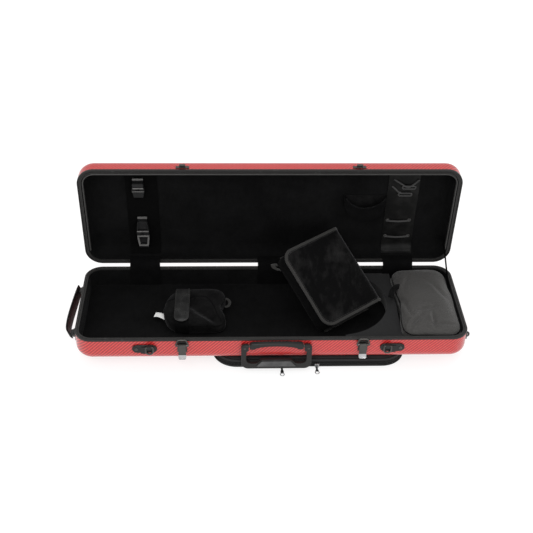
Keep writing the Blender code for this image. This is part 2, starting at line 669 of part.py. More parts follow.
# ---------------------------------------------------------------- latches
LATCH_PLATE_Z = (0.0500, 0.0762)
LATCH_PIN_Z = 0.0700
LATCH_Y = FRONT - 0.0055
LATCH_PIN = 0.0010
EYE = 0.0022                    # radius of the lever's eye round the pin
LEVER_HALF = 0.0079
EAR_IN, EAR_OUT = 0.0083, 0.0096
LEG_IN, LEG_OUT = 0.0100, 0.0134


def make_latch(label, x):
    """Plate with two ears, pin, lever, and the loop that hooks over the lid's catch."""
    base = box("latch_plate_" + label, (x - EAR_OUT, FACE_Y - 0.0016, LATCH_PLATE_Z[0]),
               (x + EAR_OUT, FACE_Y, LATCH_PLATE_Z[1]), METAL)
    for side in (-1, 1):
        low_x, high_x = sorted((x + side * EAR_IN, x + side * EAR_OUT))
        ear = plate("ear", circle(LATCH_Y, LATCH_PIN_Z, 0.0026), low_x, high_x, "X", METAL)
        arm = box("arm", (low_x, LATCH_Y, LATCH_PIN_Z - EYE),
                  (high_x, FACE_Y - 0.0008, LATCH_PIN_Z + EYE), METAL)
        boolean(ear, arm, "UNION")
        boolean(base, ear, "UNION")
    centre = (x, LATCH_Y, LATCH_PIN_Z)
    drill(base, centre, "X", LATCH_PIN + PIN_CLEARANCE, 0.05)
    rod("latch_pin_" + label, centre, "X", LATCH_PIN, 2 * (LEG_OUT - 0.0004), CHROME)

    lever_turn = pivot("latch_lever_axis_" + label, centre)
    eye = arc(LATCH_Y, LATCH_PIN_Z, EYE, 0, 180, 6)
    side_view = eye + [(LATCH_Y - EYE, 0.0640), (LATCH_Y - 0.0024, 0.0480), (LATCH_Y - 0.0036, 0.0415),
                       (LATCH_Y - 0.0056, 0.0385), (LATCH_Y - 0.0050, 0.0372), (LATCH_Y - 0.0018, 0.0395),
                       (LATCH_Y - 0.0002, 0.0440), (LATCH_Y + 0.0002, 0.0640), (LATCH_Y + EYE, 0.0675)]
    lever = plate("latch_lever_" + label, side_view, x - LEVER_HALF, x + LEVER_HALF, "X", METAL)
    drill(lever, centre, "X", LATCH_PIN + PIN_CLEARANCE, 0.05)
    hang(lever, lever_turn)

    loop_turn = pivot("latch_loop_axis_" + label, centre)
    foot, shoulder, bar, top = 0.0680, 0.0745, 0.0822, 0.0856
    outline = [(x - LEG_OUT, foot), (x - LEG_IN, foot), (x - LEG_IN, shoulder - 0.0010), (x - 0.0066, bar),
               (x + 0.0066, bar), (x + LEG_IN, shoulder - 0.0010), (x + LEG_IN, foot), (x + LEG_OUT, foot),
               (x + LEG_OUT, shoulder), (x + 0.0094, top), (x - 0.0094, top), (x - LEG_OUT, shoulder)]
    loop = plate("latch_loop_" + label, outline, LATCH_Y - 0.0020, LATCH_Y + 0.0020, "Y", METAL)
    drill(loop, centre, "X", LATCH_PIN + PIN_CLEARANCE, 0.05)
    hang(loop, loop_turn)

    hook = [(FACE_Y, 0.0872), (FACE_Y, 0.0945), (FACE_Y - 0.0022, 0.0945), (FACE_Y - 0.0022, 0.0915),
            (FRONT - 0.0090, 0.0900), (FRONT - 0.0102, 0.0880), (FRONT - 0.0102, 0.0836),
            (FRONT - 0.0086, 0.0836), (FRONT - 0.0086, 0.0872), (FACE_Y - 0.0022, 0.0880)]
    catch = plate("lid_catch_" + label, hook, x - 0.0060, x + 0.0060, "X", CHROME)
    back = box("catch_back", (x - 0.0135, FACE_Y - 0.0018, 0.0872), (x + 0.0135, FACE_Y, 0.0945), CHROME)
    boolean(catch, back, "UNION")
    hang(catch, lid_pivot)


# ---------------------------------------------------------------- strap fittings, end handle
FITTING_Z = 0.0585
FITTING_RADIUS = 0.0098
RING_WIRE = 0.0019
RING_HALF, RING_DROP = 0.0072, 0.0095


def make_strap_fitting(label, side):
    """Oval plate with a block and a saddle, and the D-ring in it; side points to the ring's end."""
    x = FITTING_X[label]
    oval = arc(x + 0.0150, FITTING_Z, FITTING_RADIUS, -90, 90, 6)
    oval += arc(x - 0.0150, FITTING_Z, FITTING_RADIUS, 90, 270, 6)
    fitting = plate("strap_plate_" + label, oval, FACE_Y - 0.0030, FACE_Y, "Y", PLASTIC, bevel=0.0008)
    block = box("block", (x - 0.0070, FACE_Y - 0.0044, FITTING_Z - 0.0105),
                (x + 0.0070, FACE_Y - 0.0012, FITTING_Z + 0.0060), PLASTIC)
    boolean(fitting, block, "UNION")
    ring_x, saddle_z = x + side * 0.0100, FITTING_Z + 0.0075
    saddle = box("saddle", (ring_x - 0.0045, FACE_Y - 0.0105, saddle_z - 0.0038),
                 (ring_x + 0.0045, FACE_Y - 0.0020, saddle_z + 0.0036), PLASTIC)
    boolean(fitting, saddle, "UNION")
    centre = (ring_x, FACE_Y - 0.0072, saddle_z)
    drill(fitting, centre, "X", RING_WIRE + PIN_CLEARANCE * 2, 0.04)
    turn = pivot("ring_axis_" + label, centre)
    y, low_z = centre[1], saddle_z - RING_DROP
    points = [(ring_x - RING_HALF, y, saddle_z), (ring_x + RING_HALF, y, saddle_z),
              (ring_x + RING_HALF, y, low_z)]
    points += [(px, y, pz) for px, pz in arc(ring_x, low_z, RING_HALF, 0, -180, 6)[1:]]
    tube("d_ring_" + label, points, RING_WIRE, CHROME, turn, cyclic=True)


END_HANDLE_Z = 0.0600
END_HANDLE_Y = (-0.074, 0.064)


def make_end_handle():
    """Two mounts on the left end with the padded strap between them."""
    x0 = -END_X
    bar_x = x0 - 0.0052
    wire = 0.0011
    for label, y in zip(("front", "back"), END_HANDLE_Y):
        mount = box("end_mount_" + label, (x0 - 0.0020, y - 0.0110, END_HANDLE_Z - 0.0120),
                    (x0, y + 0.0110, END_HANDLE_Z + 0.0120), METAL, bevel=0.0006, steps=1)
        for side in (-1, 1):
            low_y, high_y = sorted((y + side * 0.0085, y + side * 0.0105))
            lug = box("lug", (bar_x, low_y, END_HANDLE_Z - 0.0024),
                      (x0 - 0.0010, high_y, END_HANDLE_Z + 0.0024), METAL)
            disc = rod("disc", (bar_x, (low_y + high_y) / 2, END_HANDLE_Z), "Y", 0.0024,
                       high_y - low_y, METAL)
            boolean(mount, lug, "UNION")
            boolean(mount, disc, "UNION")
        bar = rod("bar", (bar_x, y, END_HANDLE_Z), "Y", wire, 0.0190, METAL, steps=8)
        boolean(mount, bar, "UNION")
    turn = pivot("end_handle_axis", (bar_x, sum(END_HANDLE_Y) / 2, END_HANDLE_Z))
    half_width, thickness, bow, lean = 0.0105, 0.0042, 0.0072, 0.0030
    knob_half = 0.0078
    start, stop = END_HANDLE_Y[0] - knob_half, END_HANDLE_Y[1] + knob_half
    low_z, high_z = END_HANDLE_Z - half_width, END_HANDLE_Z + half_width
    rings = []
    count = 16
    for k in range(count + 1):
        y = start + (stop - start) * k / count
        inner = bar_x - 0.0036 - bow * sin(pi * (k / count) ** 0.45)
        low_x, high_x = inner + lean, inner - lean
        rings.append([(low_x, y, low_z), (low_x - thickness, y, low_z),
                      (high_x - thickness, y, high_z), (high_x, y, high_z)])
    strap = loft("end_handle", rings, LEATHER)
    for y in END_HANDLE_Y:
        knob = box("knob", (bar_x - 0.0058, y - knob_half, END_HANDLE_Z - 0.0022),
                   (bar_x + 0.0019, y + knob_half, END_HANDLE_Z + 0.0022), LEATHER)
        boolean(strap, knob, "UNION")
        drill(strap, (bar_x, y, END_HANDLE_Z), "Y", wire + PIN_CLEARANCE, 0.0250)
    hang(strap, turn)


def make_end_bracket():
    """The small strap loop on the right end."""
    y, z = -0.0840, 0.0590
    base = box("end_bracket", (END_X, y - 0.0080, z - 0.0070),
               (END_X + 0.0022, y + 0.0080, z + 0.0070), METAL)
    outline = arc(0, 0, 0.0080, -90, 90, 6)
    outer = [(END_X + 0.0010 + u, y + v) for u, v in outline]
    inner = [(END_X + 0.0010 + u * 0.62, y + v * 0.62) for u, v in outline]
    ring = plate("ring", outer, z - 0.0015, z + 0.0015, "Z", METAL)
    hole = plate("hole", inner, z - 0.0040, z + 0.0040, "Z", METAL)
    boolean(ring, hole, "DIFFERENCE")
    boolean(base, ring, "UNION")


# ---------------------------------------------------------------- music pocket
POCKET_X = (-0.121, 0.274)
POCKET_Y = (-0.117, 0.108)
ZIP_Z = (0.0085, 0.0130)
SLIDER_X = (0.020, 0.091)


def pocket_ring(inset, z, steps=6):
    """The pocket's outline drawn in by inset."""
    cx, cy = sum(POCKET_X) / 2, sum(POCKET_Y) / 2
    hx, hy = (POCKET_X[1] - POCKET_X[0]) / 2, (POCKET_Y[1] - POCKET_Y[0]) / 2
    return [(x, y, z) for x, y in rounded(hx - inset, hy - inset, 0.050 - inset, cx, cy, steps)]


def make_music_pocket():
    """The flat pocket under the base, its zip, and two sliders with their pulls."""
    seat = ZIP_Z[0] - GAP, ZIP_Z[1] + GAP
    levels = ((0.006, 0.0), (0.001, 0.0035), (0.0, seat[0]), (0.0026, seat[0]), (0.0026, seat[1]),
              (0.0, seat[1]), (0.0, 0.0200), (0.003, POCKET_HEIGHT))
    loft("music_pocket", [pocket_ring(inset, z) for inset, z in levels], CANVAS)
    low, high = ZIP_Z
    section = ((0.0021, low), (0.0021, high), (-0.0006, high), (-0.0006, low))
    loft("pocket_zip", [pocket_ring(inset, z) for inset, z in section], STRAP, cyclic=True)
    tooth_y = POCKET_Y[0] - 0.0006
    pull_z = 0.0016
    for label, x, reach in (("left", SLIDER_X[0], 0.0240), ("right", SLIDER_X[1], 0.0190)):
        slide = pivot("zip_slider_axis_" + label, (x, tooth_y, sum(ZIP_Z) / 2))
        body = [(x - 0.0035, tooth_y - GAP), (x + 0.0035, tooth_y - GAP), (x + 0.0045, tooth_y - 0.0040),
                (x - 0.0045, tooth_y - 0.0040)]
        plate("zip_slider_" + label, body, pull_z + 0.0012 + GAP, ZIP_Z[1] - 0.0005, "Z", CHROME, slide)
        pin_y = tooth_y - 0.0024
        swing = pivot("zip_pull_axis_" + label, (x, pin_y, pull_z), parent=slide)
        end_y = pin_y - reach
        shape = arc(x, pin_y, 0.0024, 0, 180, 4)
        shape += [(x - 0.0020, pin_y - 0.0080), (x - 0.0034, pin_y - 0.0105), (x - 0.0034, end_y + 0.003)]
        shape += [(x - 0.0018, end_y), (x + 0.0018, end_y), (x + 0.0034, end_y + 0.003)]
        shape += [(x + 0.0034, pin_y - 0.0105), (x + 0.0020, pin_y - 0.0080)]
        plate("zip_pull_" + label, shape, pull_z - 0.0012, pull_z + 0.0012, "Z", METAL, swing)


# ---------------------------------------------------------------- build
make_shells()
make_rims()
make_hinges()
make_hinge_straps()
make_lid_stay()
make_bout_block()
make_neck_rest()
make_nylon_bag()
make_pouch()
make_bow_holders()
make_tip_band()
make_lid_pocket()
make_handle()
for latch_label, latch_x in (("left", -LATCH_X), ("right", LATCH_X)):
    make_latch(latch_label, latch_x)
make_strap_fitting("left", 1)
make_strap_fitting("right", -1)
make_end_handle()
make_end_bracket()
make_music_pocket()
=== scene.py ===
"""Looks for the violin case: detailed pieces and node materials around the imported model.

Lengths are in metres. X runs along the case, Y from its front to its hinge and Z up.
"""

import json
from math import atan2, cos, hypot, pi, radians, sin

import bmesh
import bpy
from mathutils import Matrix, Vector, noise
from mathutils.bvhtree import BVHTree

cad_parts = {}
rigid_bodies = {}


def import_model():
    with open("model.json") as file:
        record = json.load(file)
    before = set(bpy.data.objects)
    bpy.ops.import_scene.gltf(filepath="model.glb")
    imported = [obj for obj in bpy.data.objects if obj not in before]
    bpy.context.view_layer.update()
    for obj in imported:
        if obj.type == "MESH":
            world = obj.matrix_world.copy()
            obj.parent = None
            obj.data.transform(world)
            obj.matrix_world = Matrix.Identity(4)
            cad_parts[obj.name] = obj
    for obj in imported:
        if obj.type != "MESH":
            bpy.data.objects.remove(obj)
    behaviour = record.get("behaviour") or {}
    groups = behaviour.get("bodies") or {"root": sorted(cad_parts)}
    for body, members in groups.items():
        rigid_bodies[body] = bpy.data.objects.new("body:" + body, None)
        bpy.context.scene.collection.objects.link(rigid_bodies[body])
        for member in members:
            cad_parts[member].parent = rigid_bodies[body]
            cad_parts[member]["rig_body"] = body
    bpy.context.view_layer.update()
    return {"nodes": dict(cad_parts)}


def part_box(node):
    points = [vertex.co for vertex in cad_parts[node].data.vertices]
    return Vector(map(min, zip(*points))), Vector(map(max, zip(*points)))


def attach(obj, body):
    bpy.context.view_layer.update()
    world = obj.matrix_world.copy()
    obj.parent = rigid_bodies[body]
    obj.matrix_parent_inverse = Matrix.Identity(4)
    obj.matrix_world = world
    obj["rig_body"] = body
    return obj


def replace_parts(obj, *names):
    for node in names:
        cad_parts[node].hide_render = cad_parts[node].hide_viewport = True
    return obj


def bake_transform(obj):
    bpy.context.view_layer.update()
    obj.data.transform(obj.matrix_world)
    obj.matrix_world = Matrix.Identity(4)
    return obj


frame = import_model()
scene = bpy.context.scene

# ---------------------------------------------------------------- sizes shared with the model
LENGTH, WIDTH, CORNER = 0.79, 0.245, 0.036
PARTING = 0.081
BASE_BOTTOM, LID_TOP = 0.025, 0.123
RIM_PROUD, RIM_WIDTH, RIM_HEIGHT = 0.0006, 0.0085, 0.004
SHELL_WALL, LINING_INSET = 0.0025, 0.009
FLOOR_Z, LID_CEILING = 0.036, 0.115
GAP = 0.0004
FRONT = -WIDTH / 2
LINING_X, LINING_Y = LENGTH / 2 - LINING_INSET, WIDTH / 2 - LINING_INSET
FINE_SIDES = (60, 14)            # extra points along the long and short sides of a case ring
BOW_X, TIP_X, BAND_HALF = -0.268, 0.281, 0.033
RED_TOW, RIB_PITCH = 0.00185, 0.0022
VOXEL = 0.0045                   # the mesh size of a stuffed shape
HINGE_POINT = Vector((0.0, 0.127, PARTING))
LID_ANGLE = radians(-86)
TO_OPEN = (Matrix.Translation(HINGE_POINT) @ Matrix.Rotation(LID_ANGLE, 4, "X")
           @ Matrix.Translation(-HINGE_POINT))


# ---------------------------------------------------------------- material building
class Shade:
    """A Principled material and short calls that add nodes to it."""

    def __init__(self, name, roughness, metallic=0.0, settings=()):
        self.material = bpy.data.materials.new(name)
        self.material.use_nodes = True
        self.tree = self.material.node_tree
        self.bsdf = self.tree.nodes["Principled BSDF"]
        for socket, value in {"Roughness": roughness, "Metallic": metallic,
                              **dict(settings)}.items():
            self.plug(self.bsdf.inputs[socket], value)
        coordinates = self.tree.nodes.new("ShaderNodeTexCoord")
        self.place, self.normal = coordinates.outputs["Object"], coordinates.outputs["Normal"]

    def plug(self, socket, value):
        """Links a socket, or sets a plain number, vector or colour on it."""
        if isinstance(value, bpy.types.NodeSocket):
            self.tree.links.new(value, socket)
        else:
            socket.default_value = (*value, 1.0) if socket.type == "RGBA" else value

    def node(self, kind, sockets, out=0, **properties):
        """Adds a node, sets its properties, then its sockets, and gives one of its outputs."""
        node = self.tree.nodes.new("ShaderNode" + kind)
        for name, value in properties.items():
            setattr(node, name, value)
        for key, value in dict(sockets).items():
            self.plug(node.inputs[key], value)
        return node.outputs[out]

    def math(self, operation, a, b=0.0, c=0.0):
        return self.node("Math", enumerate((a, b, c)), operation=operation)

    def split(self, vector):
        return self.node("SeparateXYZ", {0: vector}, slice(0, 3))

    def join(self, x, y):
        return self.node("CombineXYZ", {0: x, 1: y})

    def noise(self, scale, detail=3.0, rough=0.5, vector=None, stretch=None):
        """Noise of the given scale, in cycles per metre; stretch scales each axis."""
        vector = self.place if vector is None else vector
        if stretch:
            vector = self.node("VectorMath", {0: vector, 1: stretch}, operation="MULTIPLY")
        return self.node("TexNoise", {"Vector": vector, "Scale": scale, "Detail": detail,
                                      "Roughness": rough}, "Fac")

    def cells(self, scale, feature="F1"):
        return self.node("TexVoronoi", {"Vector": self.place, "Scale": scale}, "Distance",
                         feature=feature)

    def ramp(self, factor, *stops):
        """A colour or grey ramp; stops are (position, grey or colour)."""
        node = self.tree.nodes.new("ShaderNodeValToRGB")
        self.plug(node.inputs[0], factor)
        elements = node.color_ramp.elements
        while len(elements) < len(stops):
            elements.new(0.5)
        for element, (position, colour) in zip(elements, stops):
            element.position = position
            element.color = (*(colour if isinstance(colour, tuple) else (colour,) * 3), 1.0)
        return node.outputs[0]

    def mix(self, factor, a, b):
        return self.node("Mix", {0: factor, 6: a, 7: b}, 2, data_type="RGBA")

    def bump(self, height, distance, strength, after=None):
        sockets = {"Strength": strength, "Distance": distance, "Height": height}
        if after is not None:
            sockets["Normal"] = after
        return self.node("Bump", sockets)

    def on_surface(self):
        """Position on the surface in metres, seen along the normal's largest axis.

        Going round the sides, u keeps its direction, so that a slanted weave doesn't mirror at
        a corner.
        """
        x, y, z = self.split(self.place)
        side_x, side_y, _ = (self.math("SIGN", n) for n in self.split(self.normal))
        nx, ny, nz = (self.math("ABSOLUTE", n) for n in self.split(self.normal))

        def largest(n, *others):
            return self.math("GREATER_THAN", n, self.math("MAXIMUM", *others))

        def choose(which, a, b):
            return self.math("ADD", a, self.math("MULTIPLY", which, self.math("SUBTRACT", b, a)))

        facing_back = self.math("MULTIPLY", largest(ny, nx, nz),
                                self.math("GREATER_THAN", side_y, 0.0))
        x_run = self.math("MULTIPLY", x, self.math("MULTIPLY_ADD", facing_back, -2.0, 1.0))
        u = choose(largest(nx, ny, nz), x_run, self.math("MULTIPLY", y, side_x))
        return u, choose(largest(nz, nx, ny), z, y)

    def twill(self, u, v, tow, reach=2):
        """Height, and which set of tows is on top, of a twill weave."""
        a, b = self.math("DIVIDE", u, tow), self.math("DIVIDE", v, tow)
        phase = self.math("SUBTRACT", self.math("FLOOR", a), self.math("FLOOR", b))
        turn = self.math("FLOORED_MODULO", phase, 2.0 * reach)
        warp = self.math("LESS_THAN", turn, float(reach))
        across, along = (self.math("SINE", self.math("MULTIPLY", self.math("FRACT", n), pi))
                         for n in (a, b))
        lift = self.math("MULTIPLY", warp, self.math("SUBTRACT", across, along))
        return self.math("ADD", along, lift), warp

    def finish(self, colour, rough=None, normal=None):
        sockets = {"Base Color": colour, "Roughness": rough, "Normal": normal}
        for name, value in sockets.items():
            if value is not None:
                self.plug(self.bsdf.inputs[name], value)
        return self.material


def scaled(colour, factor):
    """A colour made darker or paler."""
    return tuple(channel * factor for channel in colour)


def red_shell():
    """Red carbon twill under a clear gloss coat, with fine scratches in the coat."""
    s = Shade("red_carbon_twill", 0.36, 0.12, {"Coat Weight": 0.55, "Coat Roughness": 0.07})
    u, v = s.on_surface()
    height, warp = s.twill(u, v, RED_TOW)
    fibre = s.noise(900.0, 2.0, vector=s.join(u, v), stretch=(1.0, 0.12, 1.0))
    light = s.ramp(fibre, (0.3, (0.54, 0.024, 0.022)), (0.7, (0.7, 0.055, 0.05)))
    dark = s.ramp(fibre, (0.3, (0.23, 0.003, 0.004)), (0.7, (0.34, 0.007, 0.008)))
    # The tows running one way are painted paler: partly the weave's own two tones, partly painted
    # sheen standing in for light along their fibres.
    colour = s.mix(warp, dark, light)
    # Painted shade: the low parts of the weave, between the tows, are darkened.
    colour = s.mix(s.ramp(height, (0.0, 0.42), (0.35, 0.0)), colour, (0.14, 0.002, 0.003))
    scratches = s.noise(60.0, 6.0, 0.7, stretch=(1.0, 14.0, 14.0))
    rough = s.ramp(scratches, (0.35, 0.3), (0.62, 0.36), (0.8, 0.48))
    return s.finish(colour, rough, s.bump(height, 0.00016, 0.8))


def moulded(name, colour, roughness, worn=(0.1, 0.1, 0.1)):
    """Moulded plastic with a fine grain, slight mottling and paler rubbed patches."""
    s = Shade(name, roughness, settings={"Specular IOR Level": 0.22})
    speckle = s.noise(2600.0, 2.0)
    rubbed = s.ramp(s.noise(70.0, 5.0, 0.65), (0.6, 0.0), (0.78, 0.35))
    base = s.mix(s.noise(180.0, 3.0), colour, scaled(colour, 1.35))
    rough = s.ramp(s.noise(130.0, 4.0), (0.3, roughness - 0.06), (0.7, roughness + 0.08))
    return s.finish(s.mix(rubbed, base, worn), rough, s.bump(speckle, 0.00004, 0.6))


def plush(name, dark, pale, pile=1900.0, depth=0.00035, sheen=0.35, patch=18.0,
          spread=(0.36, 0.66)):
    """Cut pile: tiny tufts with painted shade between them, and larger patches where the pile has
    been brushed another way; the patches lean the bump and are painted paler, a painted sheen.
    """
    s = Shade(name, 0.92, settings={"Specular IOR Level": 0.08, "Sheen Weight": sheen,
                                    "Sheen Roughness": 0.38, "Sheen Tint": (0.7, 0.7, 0.72)})
    tufts = s.noise(pile, 2.0, 0.6)
    # The brushed patches and lines below give the pile's lean in the bump, and also make the colour
    # paler: a painted sheen.
    brushed = s.noise(patch, 5.0, 0.62)
    brush_and_sheen_lines = s.noise(patch * 9.0, 3.0, 0.6, stretch=(1.0, 0.35, 0.5))
    amount = s.math("MULTIPLY_ADD", brush_and_sheen_lines, 0.35, s.math("MULTIPLY", brushed, 0.65))
    colour = s.mix(s.ramp(amount, (spread[0], 0.0), (spread[1], 1.0)), dark, pale)
    # Painted shade: the hollows between tufts are darkened.
    colour = s.mix(s.ramp(tufts, (0.35, 0.55), (0.6, 0.0)), colour, scaled(dark, 0.35))
    leaning = s.bump(amount, 0.0016, 0.35)
    return s.finish(colour, None, s.bump(tufts, depth, 0.8, leaning))


def felt(name, dark, pale):
    """Pressed fibre over foam."""
    s = Shade(name, 0.95, settings={"Sheen Weight": 0.12, "Sheen Roughness": 0.5,
                                    "Specular IOR Level": 0.15})
    strands = s.noise(700.0, 5.0, 0.7, stretch=(1.0, 2.4, 1.0))
    lint = s.noise(320.0, 2.0)
    colour = s.mix(s.ramp(strands, (0.38, 0.0), (0.64, 1.0)), dark, pale)
    colour = s.mix(s.ramp(lint, (0.68, 0.0), (0.76, 0.4)), colour, scaled(pale, 2.2))
    return s.finish(colour, None, s.bump(strands, 0.0004, 0.6))


def woven(name, dark, pale, thread, roughness, depth, reach=1, sheen=0.15):
    """Plain or twill weave cloth with thread-to-thread variation."""
    s = Shade(name, roughness, settings={"Sheen Weight": sheen, "Sheen Roughness": 0.45,
                                         "Specular IOR Level": 0.3})
    u, v = s.on_surface()
    height, warp = s.twill(u, v, thread, reach)
    uneven = s.noise(0.3 / thread, 3.0, 0.6, vector=s.join(u, v))
    colour = s.mix(warp, dark, pale)
    colour = s.mix(s.ramp(uneven, (0.35, 0.0), (0.7, 0.5)), colour, scaled(pale, 1.5))
    # Painted shade: the low parts of the weave, between threads, are darkened.
    colour = s.mix(s.ramp(height, (0.0, 0.6), (0.4, 0.0)), colour, scaled(dark, 0.3))
    cloudy = s.ramp(s.noise(26.0, 4.0), (0.35, 0.0), (0.75, 0.25))
    colour = s.mix(cloudy, colour, scaled(dark, 0.5))
    return s.finish(colour, None, s.bump(height, depth, 0.9))


def leather(name, dark, pale, roughness=0.42, pebble=900.0, specular=0.32):
    """Leatherette with pebbled grain and softly worn highs."""
    s = Shade(name, roughness, settings={"Specular IOR Level": specular})
    grain = s.cells(pebble, "DISTANCE_TO_EDGE")
    pores = s.noise(pebble * 3.0, 2.0)
    worn = s.ramp(s.noise(45.0, 5.0, 0.6), (0.42, 0.0), (0.72, 0.8))
    colour = s.mix(worn, dark, pale)
    # Painted shade: the creases between the pebbles are darkened.
    colour = s.mix(s.ramp(grain, (0.0, 0.5), (0.1, 0.0)), colour, scaled(dark, 0.4))
    rough = s.ramp(worn, (0.0, roughness), (1.0, roughness - 0.1))
    pebbles = s.ramp(grain, (0.0, 0.0), (0.16, 1.0))
    return s.finish(colour, rough, s.bump(pebbles, 0.0001, 0.7, s.bump(pores, 0.00003, 0.5)))


def metal(name, colour, roughness, brushed=True):
    """Plated metal with fine brushing and dull smudges."""
    s = Shade(name, roughness, 1.0)
    lines = s.noise(420.0, 3.0, 0.6, stretch=(0.15, 1.0, 6.0) if brushed else (1.0, 1.0, 1.0))
    smudge = s.noise(90.0, 4.0, 0.6)
    tint = s.mix(s.ramp(smudge, (0.4, 0.0), (0.75, 0.55)), colour, scaled(colour, 0.65))
    rough = s.math("ADD", s.ramp(lines, (0.3, roughness - 0.05), (0.7, roughness + 0.07)),
                   s.math("MULTIPLY", smudge, 0.08))
    return s.finish(tint, rough, s.bump(lines, 0.00002, 0.35))


def ribbed_rubber():
    """Soft grip pad with a fine stipple, slanted ribs and a rubbed middle."""
    s = Shade("grip_rubber_stippled", 0.55)
    u, v = s.on_surface()
    dots = s.cells(620.0)
    rub = s.ramp(s.noise(60.0, 4.0), (0.4, 0.0), (0.7, 0.7))
    colour = s.mix(rub, (0.04, 0.04, 0.041), (0.085, 0.085, 0.086))
    lines = s.math("SINE", s.math("MULTIPLY", s.math("ADD", u, v), 2 * pi / RIB_PITCH))
    height = s.math("MULTIPLY_ADD", dots, -0.6, s.math("MULTIPLY", lines, 0.25))
    return s.finish(colour, s.ramp(rub, (0.0, 0.6), (1.0, 0.46)), s.bump(height, 0.00012, 0.6))


LOOKS = {                        # builder, slot, name, then the builder's own values
    "rim": (moulded, "dark_rim", "rim_satin_plastic", (0.016, 0.0155, 0.015), 0.36),
    "plush": (plush, "black_plush", "black_lining_plush", (0.0018, 0.0018, 0.0019),
              (0.0058, 0.0058, 0.006), 1900.0, 0.00035, 0.035),
    "felt": (felt, "grey_felt", "grey_block_felt", (0.008, 0.008, 0.0083), (0.016, 0.016, 0.0165)),
    "nylon": (woven, "grey_nylon", "grey_ripstop_nylon", (0.0225, 0.0215, 0.0204),
              (0.046, 0.044, 0.0415), 0.0013, 0.58, 0.00022),
    "velvet": (plush, "black_velvet", "black_pile_velvet", (0.001, 0.001, 0.0011),
               (0.0085, 0.0083, 0.0084), 1500.0, 0.0005, 0.1, 42.0),
    # The flap's velvet has large pale patches, a painted sheen.
    "pouch_velvet": (plush, "black_velvet", "brushed_pile_velvet", (0.0007, 0.0007, 0.0008),
                     (0.015, 0.0146, 0.0146), 1500.0, 0.0005, 0.16, 13.0, (0.45, 0.66)),
    "velour": (plush, "black_velvet", "black_strap_velour", (0.0008, 0.0008, 0.0009),
               (0.003, 0.003, 0.0032), 2100.0, 0.0003, 0.02, 60.0),
    "webbing": (woven, "black_webbing", "black_band_webbing", (0.0016, 0.0016, 0.0017),
                (0.0034, 0.0034, 0.0036), 0.0011, 0.9, 0.00018, 2, 0.05),
    "band": (plush, "black_velvet", "black_band_velour", (0.0004, 0.0004, 0.0004),
             (0.0016, 0.0016, 0.0017), 2400.0, 0.0003, 0.0, 80.0),
    "binding": (woven, "black_webbing", "grey_grosgrain_binding", (0.008, 0.0077, 0.007),
                (0.0185, 0.0175, 0.016), 0.0006, 0.72, 0.00012, 1, 0.15),
    "lip": (moulded, "dark_rim", "lip_satin_plastic", (0.036, 0.035, 0.034), 0.34),
    "leather": (leather, "leatherette", "dark_leatherette", (0.0022, 0.0022, 0.0021),
                (0.013, 0.0126, 0.0122), 0.5, 520.0, 0.14),
    "strap_leather": (leather, "leatherette", "strap_leatherette", (0.013, 0.013, 0.013),
                      (0.042, 0.042, 0.041), 0.32, 1200.0),
    "plastic": (moulded, "hardware_plastic", "hardware_moulded_plastic", (0.013, 0.0128, 0.0125),
                0.36),
    "clip": (moulded, "hardware_plastic", "clip_dark_plastic", (0.011, 0.011, 0.0112), 0.42,
             (0.035, 0.035, 0.035)),
    # Pale plastic for the clips' painted highlights.
    "clip_edge": (moulded, "hardware_plastic", "clip_edge_plastic", (0.115, 0.113, 0.11), 0.4,
                  (0.2, 0.2, 0.2)),
    "rubber": (ribbed_rubber, "grip_rubber"),
    "red": (red_shell, "red_shell"),
    "gunmetal": (metal, "gunmetal", "gunmetal_plate", (0.085, 0.083, 0.079), 0.36),
    "chrome": (metal, "chrome", "bright_chrome", (0.47, 0.475, 0.48), 0.24, False),
    "canvas": (woven, "pocket_canvas", "black_pocket_canvas", (0.0085, 0.0085, 0.009),
               (0.017, 0.017, 0.0175), 0.001, 0.8, 0.00016),
    "thread": (woven, "black_webbing", "dark_stitch_thread", (0.02, 0.02, 0.02),
               (0.045, 0.044, 0.043), 0.0003, 0.7, 0.00005),
    "label": (woven, "grey_nylon", "white_label_tape", (0.62, 0.62, 0.61), (0.78, 0.78, 0.77),
              0.00045, 0.8, 0.00005),
}
MATERIALS = {key: (build(*values), slot) for key, (build, slot, *values) in LOOKS.items()}


# ---------------------------------------------------------------- mesh building
def piece(name, bm, look, body, sharp=35.0, lid=False):
    """Turns a bmesh into a piece with its look; where lid is true, it was drawn on the shut lid."""
    bmesh.ops.recalc_face_normals(bm, faces=bm.faces)
    mesh = bpy.data.meshes.new(name)
    bm.to_mesh(mesh)
    bm.free()
    if lid:
        mesh.transform(TO_OPEN)
    material, slot = MATERIALS[look]
    mesh.materials.append(material)
    mesh.shade_smooth()
    mesh.set_sharp_from_angle(angle=radians(sharp))
    obj = bpy.data.objects.new(name, mesh)
    scene.collection.objects.link(obj)
    if body:
        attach(obj, body)
    return obj


def built(add, *details):
    """A new bmesh with what add, one of the _into functions, puts into it."""
    bm = bmesh.new()
    add(bm, *details)
    return bm


def loft_into(bm, rings, cyclic=False):
    """Adds rings joined by quads to bm, closed at both ends unless cyclic."""
    loops = [[bm.verts.new(point) for point in ring] for ring in rings]
    count = len(rings[0])
    pairs = list(zip(loops, loops[1:]))
    if cyclic:
        pairs.append((loops[-1], loops[0]))
    for lower, upper in pairs:
        for k in range(count):
            m = (k + 1) % count
            bm.faces.new((lower[k], lower[m], upper[m], upper[k]))
    if not cyclic:
        bm.faces.new(reversed(loops[0]))
        bm.faces.new(loops[-1])


def loft(name, rings, look, body, cyclic=False, sharp=35.0, lid=False):
    return piece(name, built(loft_into, rings, cyclic), look, body, sharp, lid)


